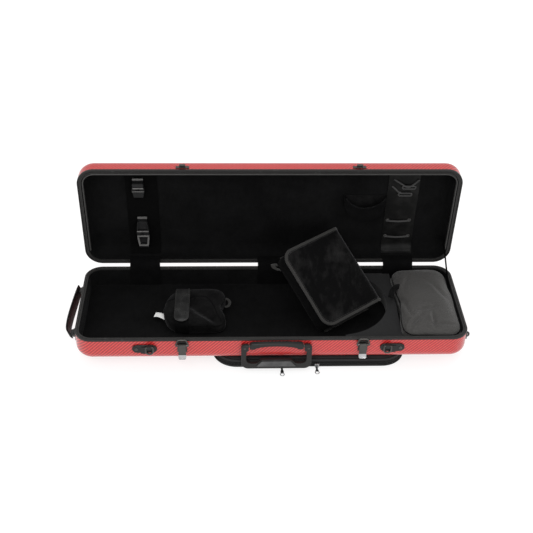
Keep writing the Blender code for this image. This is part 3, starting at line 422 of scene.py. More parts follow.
def bevelled(obj, width, segments=2):
    """Adds a bevel along the sharp edges, so that they catch the light."""
    bevel = obj.modifiers.new("edge_round", "BEVEL")
    bevel.width = width
    bevel.segments = segments
    bevel.limit_method = "ANGLE"
    bevel.angle_limit = radians(32.0)
    bevel.harden_normals = True
    return obj


def ahead_at(points, k, cyclic=False):
    """The direction of a path at its point k."""
    count = len(points)
    if cyclic:
        step = points[(k + 1) % count] - points[k - 1]
    else:
        step = points[min(k + 1, count - 1)] - points[max(k - 1, 0)]
    return step.normalized()


def baked(obj):
    """Applies every modifier of obj."""
    bpy.context.view_layer.update()
    mesh = bpy.data.meshes.new_from_object(obj.evaluated_get(bpy.context.evaluated_depsgraph_get()))
    obj.modifiers.clear()
    obj.data = mesh
    return obj


def finer(node, look, width=0.0005, segments=2):
    """Stands in for a CAD node with the same shape, but with its edges rounded."""
    bm = bmesh.new()
    bm.from_mesh(frame["nodes"][node].data)
    bmesh.ops.remove_doubles(bm, verts=bm.verts, dist=0.000005)
    bmesh.ops.dissolve_limit(bm, angle_limit=radians(1.5), verts=bm.verts, edges=bm.edges)
    obj = piece(node + "_fine", bm, look, body_of(node), 30.0)
    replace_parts(obj, node)
    return bevelled(obj, width, segments)


def tube_into(bm, path, radius, sides=8, cyclic=False):
    """Adds a round tube along the path; radius may be a list, one per point."""
    points = [Vector(p) for p in path]
    radii = radius if isinstance(radius, (list, tuple)) else [radius] * len(points)
    turns = [2 * pi * s / sides for s in range(sides)]
    rings, up = [], None
    for k, point in enumerate(points):
        ahead = ahead_at(points, k, cyclic)
        if up is None:
            up = ahead.orthogonal().normalized()
        up = (up - ahead * up.dot(ahead)).normalized()
        side = ahead.cross(up)
        rings.append([point + (up * cos(t) + side * sin(t)) * radii[k] for t in turns])
    loft_into(bm, rings, cyclic)


def tube(name, path, radius, look, body, sides=8, cyclic=False):
    return piece(name, built(tube_into, path, radius, sides, cyclic), look, body, 60.0)


def strip_into(bm, path, ups, width, thickness):
    """Adds a flat strip along the path, lying square to ups: one direction, or one per point."""
    points = [Vector(p) for p in path]
    if isinstance(ups, tuple):
        ups = [ups] * len(points)
    rings = []
    for k, (p, up) in enumerate(zip(points, ups)):
        ahead = ahead_at(points, k)
        side = ahead.cross(Vector(up)).normalized()
        rise = side.cross(ahead).normalized()
        w, t = width / 2, thickness / 2
        r = min(t * 0.8, w * 0.3)
        rings.append([p + side * a + rise * b for a, b in (
            (w, t - r), (w - r, t), (0.0, t), (r - w, t), (-w, t - r), (-w, r - t), (r - w, -t),
            (w - r, -t), (w, r - t))])
    loft_into(bm, rings)


def strip(name, path, ups, width, thickness, look, body):
    return piece(name, built(strip_into, path, ups, width, thickness), look, body, 50.0)


AXES = {
    "Z": lambda u, v, h: (u, v, h),
    "Y": lambda u, v, h: (u, h, v),
    "X": lambda u, v, h: (h, u, v),
}


def plate_into(bm, outline, low, high, axis="Z"):
    place = AXES[axis]
    loft_into(bm, [[place(u, v, low) for u, v in outline], [place(u, v, high) for u, v in outline]])


def plate(name, outline, low, high, axis, look, body, bevel=0.0005, segments=2):
    """A flat outline thickened across an axis, with rounded edges."""
    bm = built(plate_into, outline, low, high, axis)
    return bevelled(piece(name, bm, look, body, 30.0), bevel, segments)


def arc(cx, cy, radius, start, stop, steps):
    turns = [radians(start + (stop - start) * k / steps) for k in range(steps + 1)]
    return [(cx + radius * cos(t), cy + radius * sin(t)) for t in turns]


def circle(cx, cy, radius, steps=24):
    return arc(cx, cy, radius, 0, 360 - 360 / steps, steps - 1)


def rounded(half_x, half_y, radius, cx=0.0, cy=0.0, steps=14, extra=(0, 0)):
    """A rectangle with round corners, anticlockwise, with extra points along its X and Y sides."""
    x, y = half_x - radius, half_y - radius
    points = []
    for index, (px, py, start) in enumerate(((x, y, 0), (-x, y, 90), (-x, -y, 180), (x, -y, 270))):
        corner = arc(cx + px, cy + py, radius, start, start + 90, steps)
        if points:
            points += evenly(points[-1], corner[0], extra[1 - index % 2])
        points += corner
    return points + evenly(points[-1], points[0], extra[1])


def evenly(a, b, count):
    """count points between a and b, not counting them."""
    return [(a[0] + (b[0] - a[0]) * k / (count + 1), a[1] + (b[1] - a[1]) * k / (count + 1))
            for k in range(1, count + 1)]


def between(a, b, spacing):
    """Points between a and b, not counting them, no further apart than spacing."""
    return evenly(a, b, int(hypot(b[0] - a[0], b[1] - a[1]) / spacing))


def case_ring(inset, z, extra=(0, 0)):
    """The case's plan outline drawn in by inset, at height z."""
    radius = max(CORNER - inset, 0.004)
    return [(x, y, z) for x, y in rounded(LENGTH / 2 - inset, WIDTH / 2 - inset, radius,
                                          extra=extra)]


def wall(inset, edge, far_z, rim_z, steps=9, middle=2):
    """Insets and heights of a wall, from its flat far side, round the edge, to the rim."""
    side = 1 if rim_z > far_z else -1
    levels = []
    for k in range(steps + 1):
        angle = pi / 2 * k / steps
        levels.append((inset + edge * (1 - sin(angle)), far_z + side * edge * (1 - cos(angle))))
    start = levels[-1][1]
    for k in range(1, middle + 1):
        levels.append((inset, start + (rim_z - start) * k / middle))
    return levels


def smooth_path(points, per=6, cyclic=False):
    """A Catmull-Rom curve through the points."""
    pts = [Vector(p) for p in points]
    count = len(pts)
    out = []
    for k in range(count if cyclic else count - 1):
        if cyclic:
            a, b, c, d = (pts[(k + n) % count] for n in (-1, 0, 1, 2))
        else:
            a, b, c, d = pts[max(k - 1, 0)], pts[k], pts[k + 1], pts[min(k + 2, count - 1)]
        for s in range(per):
            t = s / per
            out.append(0.5 * (2 * b + (c - a) * t + (2 * a - 5 * b + 4 * c - d) * t * t
                              + (3 * b - a - 3 * c + d) * t ** 3))
    if not cyclic:
        out.append(pts[-1])
    return out


def stitch_into(bm, path, pitch, length, radius):
    """Adds a run of separate stitches along the path."""
    points = [Vector(p) for p in path]
    run = [0.0]
    for a, b in zip(points, points[1:]):
        run.append(run[-1] + (b - a).length)

    def at(distance):
        for k in range(len(points) - 1):
            if distance <= run[k + 1]:
                share = (distance - run[k]) / max(run[k + 1] - run[k], 1e-9)
                return points[k].lerp(points[k + 1], share)
        return points[-1]

    radii = [radius * 0.45, radius, radius, radius * 0.45]
    for n in range(int(run[-1] / pitch)):
        start = (n + 0.15) * pitch
        a, b = at(start), at(start + length)
        tube_into(bm, [a, a.lerp(b, 0.2), a.lerp(b, 0.8), b], radii, 5)


def stitches(name, paths, body, pitch, lid=False):
    bm = bmesh.new()
    for path in paths:
        stitch_into(bm, path, pitch, pitch * 0.7, 0.00022)
    return piece(name, bm, "thread", body, 60.0, lid)


def surface_tree(obj):
    bpy.context.view_layer.update()
    return BVHTree.FromObject(obj, bpy.context.evaluated_depsgraph_get())


def snapped(path, tree, lift):
    """The path's points moved to the nearest place on a surface, then lifted off it."""
    out = []
    for point in path:
        place, normal = tree.find_nearest(Vector(point))[:2]
        out.append(place + normal * lift)
    return out


def wavy(point, scale, seed=0.0):
    """Smooth noise from -1 to 1 at a point."""
    return noise.noise(Vector(point) * scale + Vector((seed, seed * 1.7, seed * 0.3)))


def displaced(obj, amount):
    """Moves every vertex along its normal by amount(co, normal)."""
    mesh = obj.data
    moves = [(v.co.copy(), v.normal.copy()) for v in mesh.vertices]
    for vertex, (co, normal) in zip(mesh.vertices, moves):
        vertex.co = co + normal * amount(co, normal)
    mesh.update()


def resting(obj, low):
    """Keeps every vertex of obj at or above the height low."""
    for vertex in obj.data.vertices:
        vertex.co.z = max(vertex.co.z, low)


def soft_step(value, start, run):
    """From 0 to 1 as value goes from start over run."""
    return min(max((value - start) / run, 0.0), 1.0)


def body_of(node):
    return frame["nodes"][node]["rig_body"]


def puffed(obj, cap, voxel, pressure=4.0, frames=20):
    """Fills a closed shape like a stuffed cushion with a short cloth simulation.

    No vertex moves further than cap.
    """
    remesh = obj.modifiers.new("remesh", "REMESH")
    remesh.mode = "VOXEL"
    remesh.voxel_size = voxel
    baked(obj)
    rest = [v.co.copy() for v in obj.data.vertices]
    cloth = obj.modifiers.new("cloth", "CLOTH")
    settings = cloth.settings
    settings.quality = 5
    settings.use_pressure = True
    settings.uniform_pressure_force = pressure
    settings.effector_weights.gravity = 0.0
    settings.tension_stiffness = settings.compression_stiffness = 20.0
    settings.shear_stiffness = 8.0
    settings.bending_stiffness = 1.0
    cloth.collision_settings.use_collision = False
    cloth.point_cache.frame_start = 1
    cloth.point_cache.frame_end = frames
    for step in range(1, frames + 1):
        scene.frame_set(step)
    baked(obj)
    scene.frame_set(1)
    for vertex, start in zip(obj.data.vertices, rest):
        move = vertex.co - start
        if move.length > cap:
            vertex.co = start + move * (cap / move.length)
    smooth = obj.modifiers.new("even", "SMOOTH")
    smooth.factor = 0.5
    smooth.iterations = 3
    finer_mesh = obj.modifiers.new("finer", "SUBSURF")
    finer_mesh.levels = finer_mesh.render_levels = 1
    baked(obj)
    obj.data.shade_smooth()
    return obj


# ---------------------------------------------------------------- shells, rims, linings
BASE_RIM_Z, LID_RIM_Z = PARTING - GAP - RIM_HEIGHT, PARTING + GAP + RIM_HEIGHT
EDGE_ROUND = 0.022
LINING_BACK = SHELL_WALL + RIM_PROUD + GAP


def shell(name, node, far_z, edge_z, lid):
    """A red shell, round where its broad side meets its walls."""
    inner_far = far_z + (SHELL_WALL if edge_z > far_z else -SHELL_WALL)
    outer = wall(RIM_PROUD, EDGE_ROUND, far_z, edge_z)
    inner = wall(RIM_PROUD + SHELL_WALL, EDGE_ROUND - SHELL_WALL, inner_far, edge_z)
    rings = [case_ring(inset, z) for inset, z in outer + inner[::-1]]
    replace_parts(loft(name, rings, "red", body_of(node), sharp=50.0, lid=lid), node)


def lining(name, node, far_z, back_z, edge_z, fillet, lid):
    """A plush lining whose walls ripple a little where the cloth was stretched over foam."""
    back = wall(LINING_BACK, EDGE_ROUND - SHELL_WALL - GAP, back_z, edge_z, 4, 1)
    face = wall(LINING_INSET, fillet, far_z, edge_z, 10, 6)
    rings = [case_ring(inset, z, FINE_SIDES) for inset, z in back + face[::-1]]
    obj = loft(name, rings, "plush", body_of(node), sharp=60.0)
    span = abs(edge_z - far_z)

    def ripple(co, _normal):
        depth = min(abs(co.z - far_z), abs(co.z - edge_z)) / span
        seen = abs(co.x) < LINING_X + 0.0005 and abs(co.y) < LINING_Y + 0.0005
        if not seen or depth < 0.03:
            return 0.0
        corner = max(0.0, (abs(co.x) - 0.3) / 0.09) * max(0.0, (abs(co.y) - 0.06) / 0.05)
        gathers = wavy((atan2(co.y, co.x) * 2.0, co.z, 0.0), 14.0, 3.0)
        return 0.00035 * wavy(co, 30.0) + 0.0007 * min(corner, 1.0) * gathers * min(depth * 4, 1.0)

    displaced(obj, ripple)
    if lid:
        obj.data.transform(TO_OPEN)
    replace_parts(obj, node)


def rim(name, node, levels, lid, edge):
    rings = [case_ring(inset, z) for inset, z in levels]
    obj = loft(name, rings, "rim", body_of(node), cyclic=True, sharp=30.0, lid=lid)
    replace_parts(obj, node)
    bevelled(obj, edge, 3)


def make_case():
    """Both shells, their linings, and the rims: a tongue on the base's, a groove in the lid's."""
    shell("red_base_shell", "base_shell", BASE_BOTTOM, BASE_RIM_Z - GAP, False)
    shell("red_lid_shell", "lid_shell", LID_TOP, LID_RIM_Z + GAP, True)
    lining("plush_base_lining", "base_lining", FLOOR_Z, BASE_BOTTOM + SHELL_WALL + GAP,
           BASE_RIM_Z - GAP, 0.003, False)
    lining("plush_lid_lining", "lid_lining", LID_CEILING, LID_TOP - SHELL_WALL - GAP,
           LID_RIM_Z + GAP, LID_FILLET, True)
    for name, node, far, near, step, first, last, lid, edge in (
            ("base_edge_rim", "base_rim", BASE_RIM_Z, PARTING - GAP, 0.0013, 0.0036, 0.005, False,
             0.0006),
            ("lid_edge_rim", "lid_rim", LID_RIM_Z, PARTING + GAP, 0.0022, 0.0022, 0.0064, True,
             0.0005)):
        rim(name, node, (
            (0.0, far), (0.0, near), (first, near), (first, near + step), (last, near + step),
            (last, near), (RIM_WIDTH, near), (RIM_WIDTH, far)), lid, edge)


def make_lid_lip():
    """The raised inner lip inside the lid's rim, on the three sides away from the hinge."""
    rings = [case_ring(inset, z, FINE_SIDES) for inset, z in (
        (0.01, 0.0868), (0.01, 0.0824), (0.0108, 0.0815), (0.0122, 0.0815), (0.013, 0.0824),
        (0.013, 0.0868))]
    count, back_y = len(rings[0]), 0.088
    inside = [k for k in range(count) if rings[0][k][1] < back_y]
    first = next(k for k in inside if (k - 1) % count not in inside)
    order = [(first + k) % count for k in range(len(inside))]
    sections = [[ring[k] for ring in rings] for k in order]
    loft("lid_inner_lip", sections, "lip", "lid", sharp=40.0, lid=True)


# ---------------------------------------------------------------- hinges, straps and stay
def make_hinges():
    """Leaves, pins with rounded ends, and two screws in each leaf."""
    for label in ("left", "right"):
        for part in ("base", "lid"):
            finer("hinge_%s_leaf_%s" % (part, label), "gunmetal", 0.0003)
        low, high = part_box("hinge_pin_" + label)
        middle = (low + high) / 2
        half = (high.x - low.x) / 2
        pin = tube("hinge_pin_round_" + label,
                   [(middle.x + half * k, middle.y, middle.z) for k in (-1.0, -0.5, 0.5, 1.0)],
                   [0.00085, 0.001, 0.001, 0.00085], "chrome", "base", 16)
        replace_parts(pin, "hinge_pin_" + label)
        for body, rise in (("base", -0.014), ("lid", 0.014)):
            places = [(middle.x + offset, 0.1246, PARTING + rise) for offset in (-0.013, 0.013)]
            screws("hinge_screws_%s_%s" % (body, label), places, (0, 1, 0), 0.0022, "chrome", body,
                   body == "lid")


def screw_into(bm, centre, out, radius):
    """Adds a domed screw head with a cross standing on it, facing out."""
    steps = 16
    centre, out = Vector(centre), Vector(out)
    up = out.orthogonal().normalized()
    side = out.cross(up)
    loft_into(bm, [[
        centre + (up * cos(2 * pi * k / steps) + side * sin(2 * pi * k / steps)) * radius * share
        + out * radius * rise for k in range(steps)]
        for share, rise in ((1.0, 0.0), (0.96, 0.22), (0.7, 0.42), (0.35, 0.5))])
    for a, b in ((up, side), (side, up)):
        low, high = centre + out * radius * 0.38, centre + out * radius * 0.56
        loft_into(bm, [[p + a * radius * sa * 0.45 + b * radius * sb * 0.09
                        for sa, sb in ((1, 1), (-1, 1), (-1, -1), (1, -1))] for p in (low, high)])


def screws(name, centres, out, radius, look, body, lid=False):
    bm = bmesh.new()
    for centre in centres:
        screw_into(bm, centre, out, radius)
    piece(name, bm, look, body, 40.0, lid)


def strap_path():
    """The middle of a hinge strap, from the base floor over the hinge and up the open lid."""
    off = 0.0011
    inner = LINING_Y - off
    down = [(inner, FLOOR_Z + 0.004), (inner, 0.05), (inner, 0.06), (inner, 0.069),
            (inner, PARTING - 0.003)]
    over = [(LINING_Y + 0.0015, PARTING + 0.0075), (LINING_Y + 0.0085, PARTING + 0.014)]
    up = [TO_OPEN @ Vector((0, inner - 0.0007, PARTING + 0.006)),
          TO_OPEN @ Vector((0, inner, 0.0915))]
    path = [(0.0, y, z) for y, z in down + over] + [(0.0, p.y, p.z) for p in up]
    return smooth_path(path, 5)


def make_hinge_straps():
    """Velour straps, softly puckered between their stitched ends."""
    thickness, columns = 0.0012, 17
    path = strap_path()
    for label, x in (("left", BOW_X), ("center", 0.008), ("right", TIP_X)):
        rings = []
        for k, p in enumerate(path):
            ahead = ahead_at(path, k)
            out = Vector((0, -ahead.z, ahead.y))
            share = k / (len(path) - 1)
            free = sin(pi * soft_step(share, 0.3, 0.62))
            front, back = [], []
            for c in range(columns):
                t = c / (columns - 1) * 2 - 1
                pucker = 0.0009 * free * wavy((t * 0.9 + x, share, 0.0), 3.2, x * 40)
                side = Vector((x + t * BAND_HALF * (1 - 0.02 * free), 0, 0))
                place = p + side + out * pucker
                edge = thickness / 2 * (0.55 if abs(t) == 1 else 1.0)
                front.append(place + out * edge)
                back.append(place - out * edge)
            rings.append(front + back[::-1])
        strap = loft("velour_hinge_strap_" + label, rings, "velour", None, sharp=50.0)
        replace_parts(strap, "hinge_strap_" + label)
        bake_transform(strap)


def make_lid_stay():
    """The woven ribbon at the right that stops the lid."""
    wall_x = LINING_X - 0.0022
    path = smooth_path([(wall_x - inward, y, z) for inward, y, z in (
        (0.0, 0.034, 0.066), (0.0, 0.05, 0.0715), (0.0, 0.068, 0.08), (0.0, 0.09, 0.092),
        (0.0004, 0.112, 0.106), (0.0015, 0.126, 0.12), (0.005, 0.135, 0.133),
        (0.01, 0.14, 0.144))], 5)
    ribbon = strip("woven_lid_stay", path, (1, 0, 0), 0.012, 0.0008, "band", None)
    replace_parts(ribbon, "lid_stay")
    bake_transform(ribbon)


# ---------------------------------------------------------------- carrying handle
HANDLE_X, HANDLE_Y = 0.0075, FRONT - 0.0055


def make_handle():
    """The moulded bracket, the U handle with its round-edged bow, and the grip pad."""
    finer("handle_bracket", "plastic", 0.0007, 3)
    for side in ("left", "right"):
        finer("handle_pin_" + side, "gunmetal", 0.0003)
    cx, inner, outer = HANDLE_X, 0.0555, 0.0705
    low, top, corner, shoulder = 0.0105, 0.0712, 0.0145, 0.007
    bend = smooth_path([(u, v, 0) for u, v in (
        (0.06, 0.054), (0.0602, 0.044), (0.06, 0.034), (0.0575, 0.0275), (0.052, 0.0242),
        (0.045, 0.0236), (0.039, 0.0248), (0.0345, 0.029), (0.03, 0.0325), (0.022, 0.0335),
        (0.008, 0.0337))], 4)
    inside = [(inner, top), (inner, 0.059), (inner + 0.0012, 0.0562)] + [(p.x, p.y) for p in bend]
    outline = arc(cx - outer + corner, low + corner, corner, 180, 270, 10)
    outline += arc(cx + outer - corner, low + corner, corner, 270, 360, 10)
    outline += arc(cx + outer - shoulder, top - shoulder, shoulder, 0, 90, 6)
    outline += [(cx + u, v) for u, v in inside] + [(cx - u, v) for u, v in reversed(inside)]
    outline += arc(cx - outer + shoulder, top - shoulder, shoulder, 90, 180, 6)
    front, back = HANDLE_Y - 0.004, HANDLE_Y + 0.004
    bow = plate("moulded_handle", outline, front, back, "Y", "plastic", "handle", 0.0024, 4)
    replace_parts(bow, "handle")
    pad = [(cx - 0.04, 0.018), (cx + 0.04, 0.018), (cx + 0.029, 0.0315),
           (cx - 0.029, 0.0315)]
    grip = plate("soft_handle_grip", pad, front - 0.0024, front - 0.0002, "Y", "rubber", "handle",
                 0.001, 3)
    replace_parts(grip, "handle_grip")
    for label, side in (("left", -1), ("right", 1)):
        place = (cx + side * (outer - shoulder), front + 0.0001, 0.064)
        screws("handle_screw_" + label, [place], (0, -1, 0), 0.0024, "gunmetal", "handle")


# ---------------------------------------------------------------- latches and strap fittings
LATCH_Y, LATCH_Z = FRONT - 0.0055, 0.07


def lever_section(x, y, z, half, thickness, tilt):
    """A rounded slab section of a lever at a point of its path; tilt turns it about X."""
    outline = rounded(half, thickness / 2, thickness * 0.42, steps=3)
    return [(x + u, y + v * cos(tilt), z + v * sin(tilt)) for u, v in outline]


def make_latch(label, x):
    """Plate and catch, pin, lever with its silver tip, and the wire-like loop."""
    finer("latch_plate_" + label, "gunmetal", 0.0003)
    finer("lid_catch_" + label, "gunmetal", 0.0004)
    pin = tube("latch_pin_round_" + label,
               [(x + k * 0.0126, LATCH_Y, LATCH_Z) for k in (-1, -0.95, 0.95, 1)],
               [0.0007, 0.001, 0.001, 0.0007], "chrome", "base", 16)
    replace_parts(pin, "latch_pin_" + label)
    for name, look, table in (
            ("latch_lever_blade_", "gunmetal", (
                (0.0000, 0.0721, 0.0074, 0.003, 0.0), (0.0001, 0.07, 0.0078, 0.0042, 0.0),
                (0.0006, 0.0675, 0.0078, 0.0034, 0.0), (0.001, 0.064, 0.0077, 0.0022, 0.0),
                (0.0012, 0.054, 0.0076, 0.002, 0.0), (0.0014, 0.0495, 0.0076, 0.002, 0.05),
                (0.0016, 0.0472, 0.0076, 0.002, 0.1))),
            ("latch_lever_tip_", "chrome", (
                (0.0016, 0.0476, 0.0078, 0.0027, 0.1), (0.002, 0.044, 0.0079, 0.0027, 0.2),
                (0.0028, 0.0412, 0.0078, 0.0026, 0.45), (0.004, 0.0393, 0.0072, 0.0024, 0.8),
                (0.005, 0.0384, 0.0058, 0.0016, 1.1)))):
        sections = [lever_section(x, LATCH_Y - forward, z, half, thick, tilt)
                    for forward, z, half, thick, tilt in table]
        part = loft(name + label, sections, look, "latch_lever_" + label, sharp=50.0)
        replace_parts(part, "latch_lever_" + label)
    leg, shoulder, top, turn = 0.0117, 0.008, 0.0839, 0.0022
    corners = [Vector((x + u, LATCH_Y, v)) for u, v in (
        (-leg, 0.069), (-leg, 0.0745), (-shoulder, top), (shoulder, top), (leg, 0.0745),
        (leg, 0.069))]
    path = [corners[0]]
    for before, here, after in zip(corners, corners[1:], corners[2:]):
        start = here + (before - here).normalized() * turn
        stop = here + (after - here).normalized() * turn
        path += [start.lerp(here, t).lerp(here.lerp(stop, t), t)
                 for t in (0.0, 0.25, 0.5, 0.75, 1.0)]
    bm = built(tube_into, path + corners[-1:], 0.0017, 10)
    for side in (-1, 1):
        eye = circle(LATCH_Y, LATCH_Z, 0.0023, 16)
        plate_into(bm, eye, x + side * leg - 0.0015, x + side * leg + 0.0015, "X")
    loop = piece("latch_wire_loop_" + label, bm, "gunmetal", "latch_loop_" + label, 50.0)
    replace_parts(loop, "latch_loop_" + label)


def make_fitting(label, x, side):
    """Screwed oval plate with its saddle, and the D-ring that swings in it."""
    finer("strap_plate_" + label, "plastic", 0.0005)
    face = FRONT + RIM_PROUD - GAP / 2
    screws("strap_plate_screw_" + label, [(x - side * 0.0165, face - 0.003, 0.0585)], (0, -1, 0),
           0.0036, "gunmetal", "base")
    ring_x, y, z, half = x + side * 0.01, face - 0.0072, 0.066, 0.0072
    path = [(ring_x - half + 2 * half * k / 8, y, z) for k in range(9)]
    path += [(ring_x + half, y, z - 0.005)]
    path += [(px, y, pz) for px, pz in arc(ring_x, z - 0.0095, half, 0, -180, 18)]
    path += [(ring_x - half, y, z - 0.005)]
    ring = tube("d_ring_wire_" + label, path, 0.0019, "gunmetal", "d_ring_" + label, 12, True)
    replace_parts(ring, "d_ring_" + label)


# ---------------------------------------------------------------- end handle and end bracket
END_X = LENGTH / 2 - RIM_PROUD + GAP / 2
END_Z = 0.06
END_Y = (-0.074, 0.064)


def make_end_handle():
    """Two mounts, and a padded strap with stitched edges bowed between them."""
    for label, y in zip(("front", "back"), END_Y):
        finer("end_mount_" + label, "gunmetal", 0.0004)
        screws("end_mount_screws_" + label,
               [(-END_X - 0.002, y, END_Z + dz) for dz in (-0.0085, 0.0085)], (-1, 0, 0), 0.0018,
               "chrome", "base")
    bar_x = -END_X - 0.0052
    count, knob, lean = 40, 0.0078, 0.003
    start, stop = END_Y[0] - knob, END_Y[1] + knob
    rings, edges = [], {-1: [], 1: []}
    for k in range(count + 1):
        share = k / count
        y = start + (stop - start) * share
        near = bar_x - 0.0036 - 0.0072 * sin(pi * share ** 0.45)
        swell = sin(pi * soft_step(share, 0.04, 0.92)) ** 0.4
        thick, half = 0.0032 + 0.0012 * swell, 0.0088 + 0.002 * swell
        middle = near - thick / 2
        rings.append([(middle + u - lean * v / half, y, END_Z + v)
                      for u, v in rounded(thick / 2, half, thick * 0.45, steps=4)])
        for side in edges:
            v = side * (half - 0.002)
            edges[side].append((near - thick - lean * v / half, y, END_Z + v))
    strap = loft("padded_end_handle", rings, "leather", "end_handle", sharp=55.0)
    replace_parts(strap, "end_handle")
    stitches("end_handle_stitches", [edges[-1][2:-2], edges[1][2:-2]], "end_handle", 0.0034)
    bm = bmesh.new()
    for y in END_Y:
        rings = []
        for k in range(-4, 5):
            half = 0.003 if abs(k) < 4 else 0.0024
            rings.append([(bar_x - 0.0019 + u, y + knob * k / 4 * 0.98, END_Z + v)
                          for u, v in rounded(0.004, half, 0.0018, steps=4)])
        loft_into(bm, rings)
    piece("end_handle_wraps", bm, "strap_leather", "end_handle", 50.0)
    finer("end_bracket", "gunmetal", 0.0004)


# ---------------------------------------------------------------- music pocket
POCKET_X, POCKET_Y = (-0.121, 0.274), (-0.117, 0.108)
ZIP_LOW, ZIP_HIGH = 0.0085, 0.013


def pocket_ring(inset, z, extra=(30, 12)):
    """The music pocket's plan outline drawn in by inset, at height z."""
    cx, cy = sum(POCKET_X) / 2, sum(POCKET_Y) / 2
    hx, hy = (POCKET_X[1] - POCKET_X[0]) / 2, (POCKET_Y[1] - POCKET_Y[0]) / 2
    return [(x, y, z) for x, y in rounded(hx - inset, hy - inset, 0.05 - inset, cx, cy, 14, extra)]


def make_music_pocket():
    """The canvas pocket with corded edges, zip tape, teeth, sliders and pulls."""
    levels = ((0.03, 0.0006), (0.012, 0.0002), (0.0055, 0.0004), (0.002, 0.0018), (0.0007, 0.0042),
              (0.0002, 0.006), (0.0004, 0.0076), (0.0018, 0.0082), (0.0034, 0.0084),
              (0.0034, 0.0131), (0.0018, 0.0134), (0.0004, 0.014), (0.0002, 0.0158),
              (0.0005, 0.018), (0.0014, 0.0205), (0.0035, 0.0228), (0.009, 0.0244), (0.03, 0.0246))
    pocket = loft("canvas_music_pocket", [pocket_ring(inset, z) for inset, z in levels], "canvas",
                  "base", sharp=60.0)
    displaced(pocket, lambda co, normal: (
        0.0 if abs(normal.z) > 0.6 else 0.0005 * wavy(co, 16.0, 2.0) - 0.0003))
    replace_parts(pocket, "music_pocket")
    tape = loft("pocket_zip_tape", [pocket_ring(inset, z) for inset, z in (
        (0.0012, ZIP_LOW + 0.0001), (0.0006, ZIP_LOW + 0.0008), (0.0006, ZIP_HIGH - 0.0008),
        (0.0012, ZIP_HIGH - 0.0001), (0.003, ZIP_HIGH - 0.0001), (0.003, ZIP_LOW + 0.0001))],
        "webbing", "base", cyclic=True, sharp=40.0)
    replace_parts(tape, "pocket_zip")
    for label, inset, z in (("low", 0.0008, 0.003), ("zip_low", 0.0002, 0.0072),
                            ("zip_high", 0.0002, 0.0144), ("high", 0.0016, 0.0212)):
        look = "binding" if label == "low" else "webbing"
        tube("pocket_cord_" + label, pocket_ring(inset, z), 0.001, look, "base", 7, True)
    bm = bmesh.new()
    path = [Vector(p) for p in pocket_ring(0.0004, (ZIP_LOW + ZIP_HIGH) / 2, (180, 80))]
    path = [p for p in path if p.y < POCKET_Y[1] - 0.012]
    largest_step, tooth_pitch, tooth_half, tall, run = 0.01, 0.0015, 0.00042, 0.0011, 0.0
    for a, b in zip(path, path[1:]):
        ahead = b - a
        if ahead.length > largest_step:      # where the path jumps across the pocket's back
            continue
        run += ahead.length
        if run < tooth_pitch:
            continue
        run = 0.0
        ahead.normalize()
        out = Vector((ahead.y, -ahead.x, 0))
        rings = []
        for depth, scale in ((0.0, 1.0), (0.00085, 0.85)):
            rings.append([a + out * depth + ahead * tooth_half * sx * scale
                          + Vector((0, 0, tall * sz * scale))
                          for sx, sz in ((-1, -1), (1, -1), (1, 1), (-1, 1))])
        loft_into(bm, rings)
    piece("pocket_zip_teeth", bm, "plastic", "base", 30.0)
    tooth_y = POCKET_Y[0] - 0.0006
    for label, x, reach in (("left", 0.02, 0.024), ("right", 0.091, 0.019)):
        finer("zip_slider_" + label, "chrome", 0.0004)
        y, z = tooth_y - 0.0024, 0.0016
        end = y - reach
        stem = [(x - 0.0022, y + 0.0012), (x + 0.0022, y + 0.0012), (x + 0.002, y - 0.006),
                (x + 0.0032, y - 0.0095), (x + 0.0034, end + 0.01), (x + 0.0016, end + 0.0078),
                (x - 0.0016, end + 0.0078), (x - 0.0034, end + 0.01), (x - 0.0032, y - 0.0095),
                (x - 0.002, y - 0.006)]
        tag = plate("zip_pull_stem_" + label, stem[::-1], z - 0.0011, z + 0.0011, "Z", "plastic",
                    "zip_pull_" + label, 0.0005)
        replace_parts(tag, "zip_pull_" + label)
        ring = tube("zip_pull_ring_" + label,
                    [(px, py, z) for px, py in circle(x, end + 0.0046, 0.004)], 0.00085, "chrome",
                    "zip_pull_" + label, 10, True)
        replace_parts(ring, "zip_pull_" + label)


def make_feet():
    """Low rubber feet under the base, on the side that the pocket doesn't reach."""
    for number, (x, y) in enumerate(((-0.345, -0.08), (-0.345, 0.08), (0.3, -0.098), (0.345, 0.08),
                                     (-0.16, -0.08), (-0.16, 0.08)), 1):
        rings = [[(px, py, BASE_BOTTOM + z) for px, py in circle(x, y, r)] for r, z in (
            (0.007, 0.0002), (0.007, -0.002), (0.0064, -0.0034), (0.005, -0.0042),
            (0.0024, -0.0044))]
        loft("base_foot_%d" % number, rings, "rubber", "base", sharp=50.0)


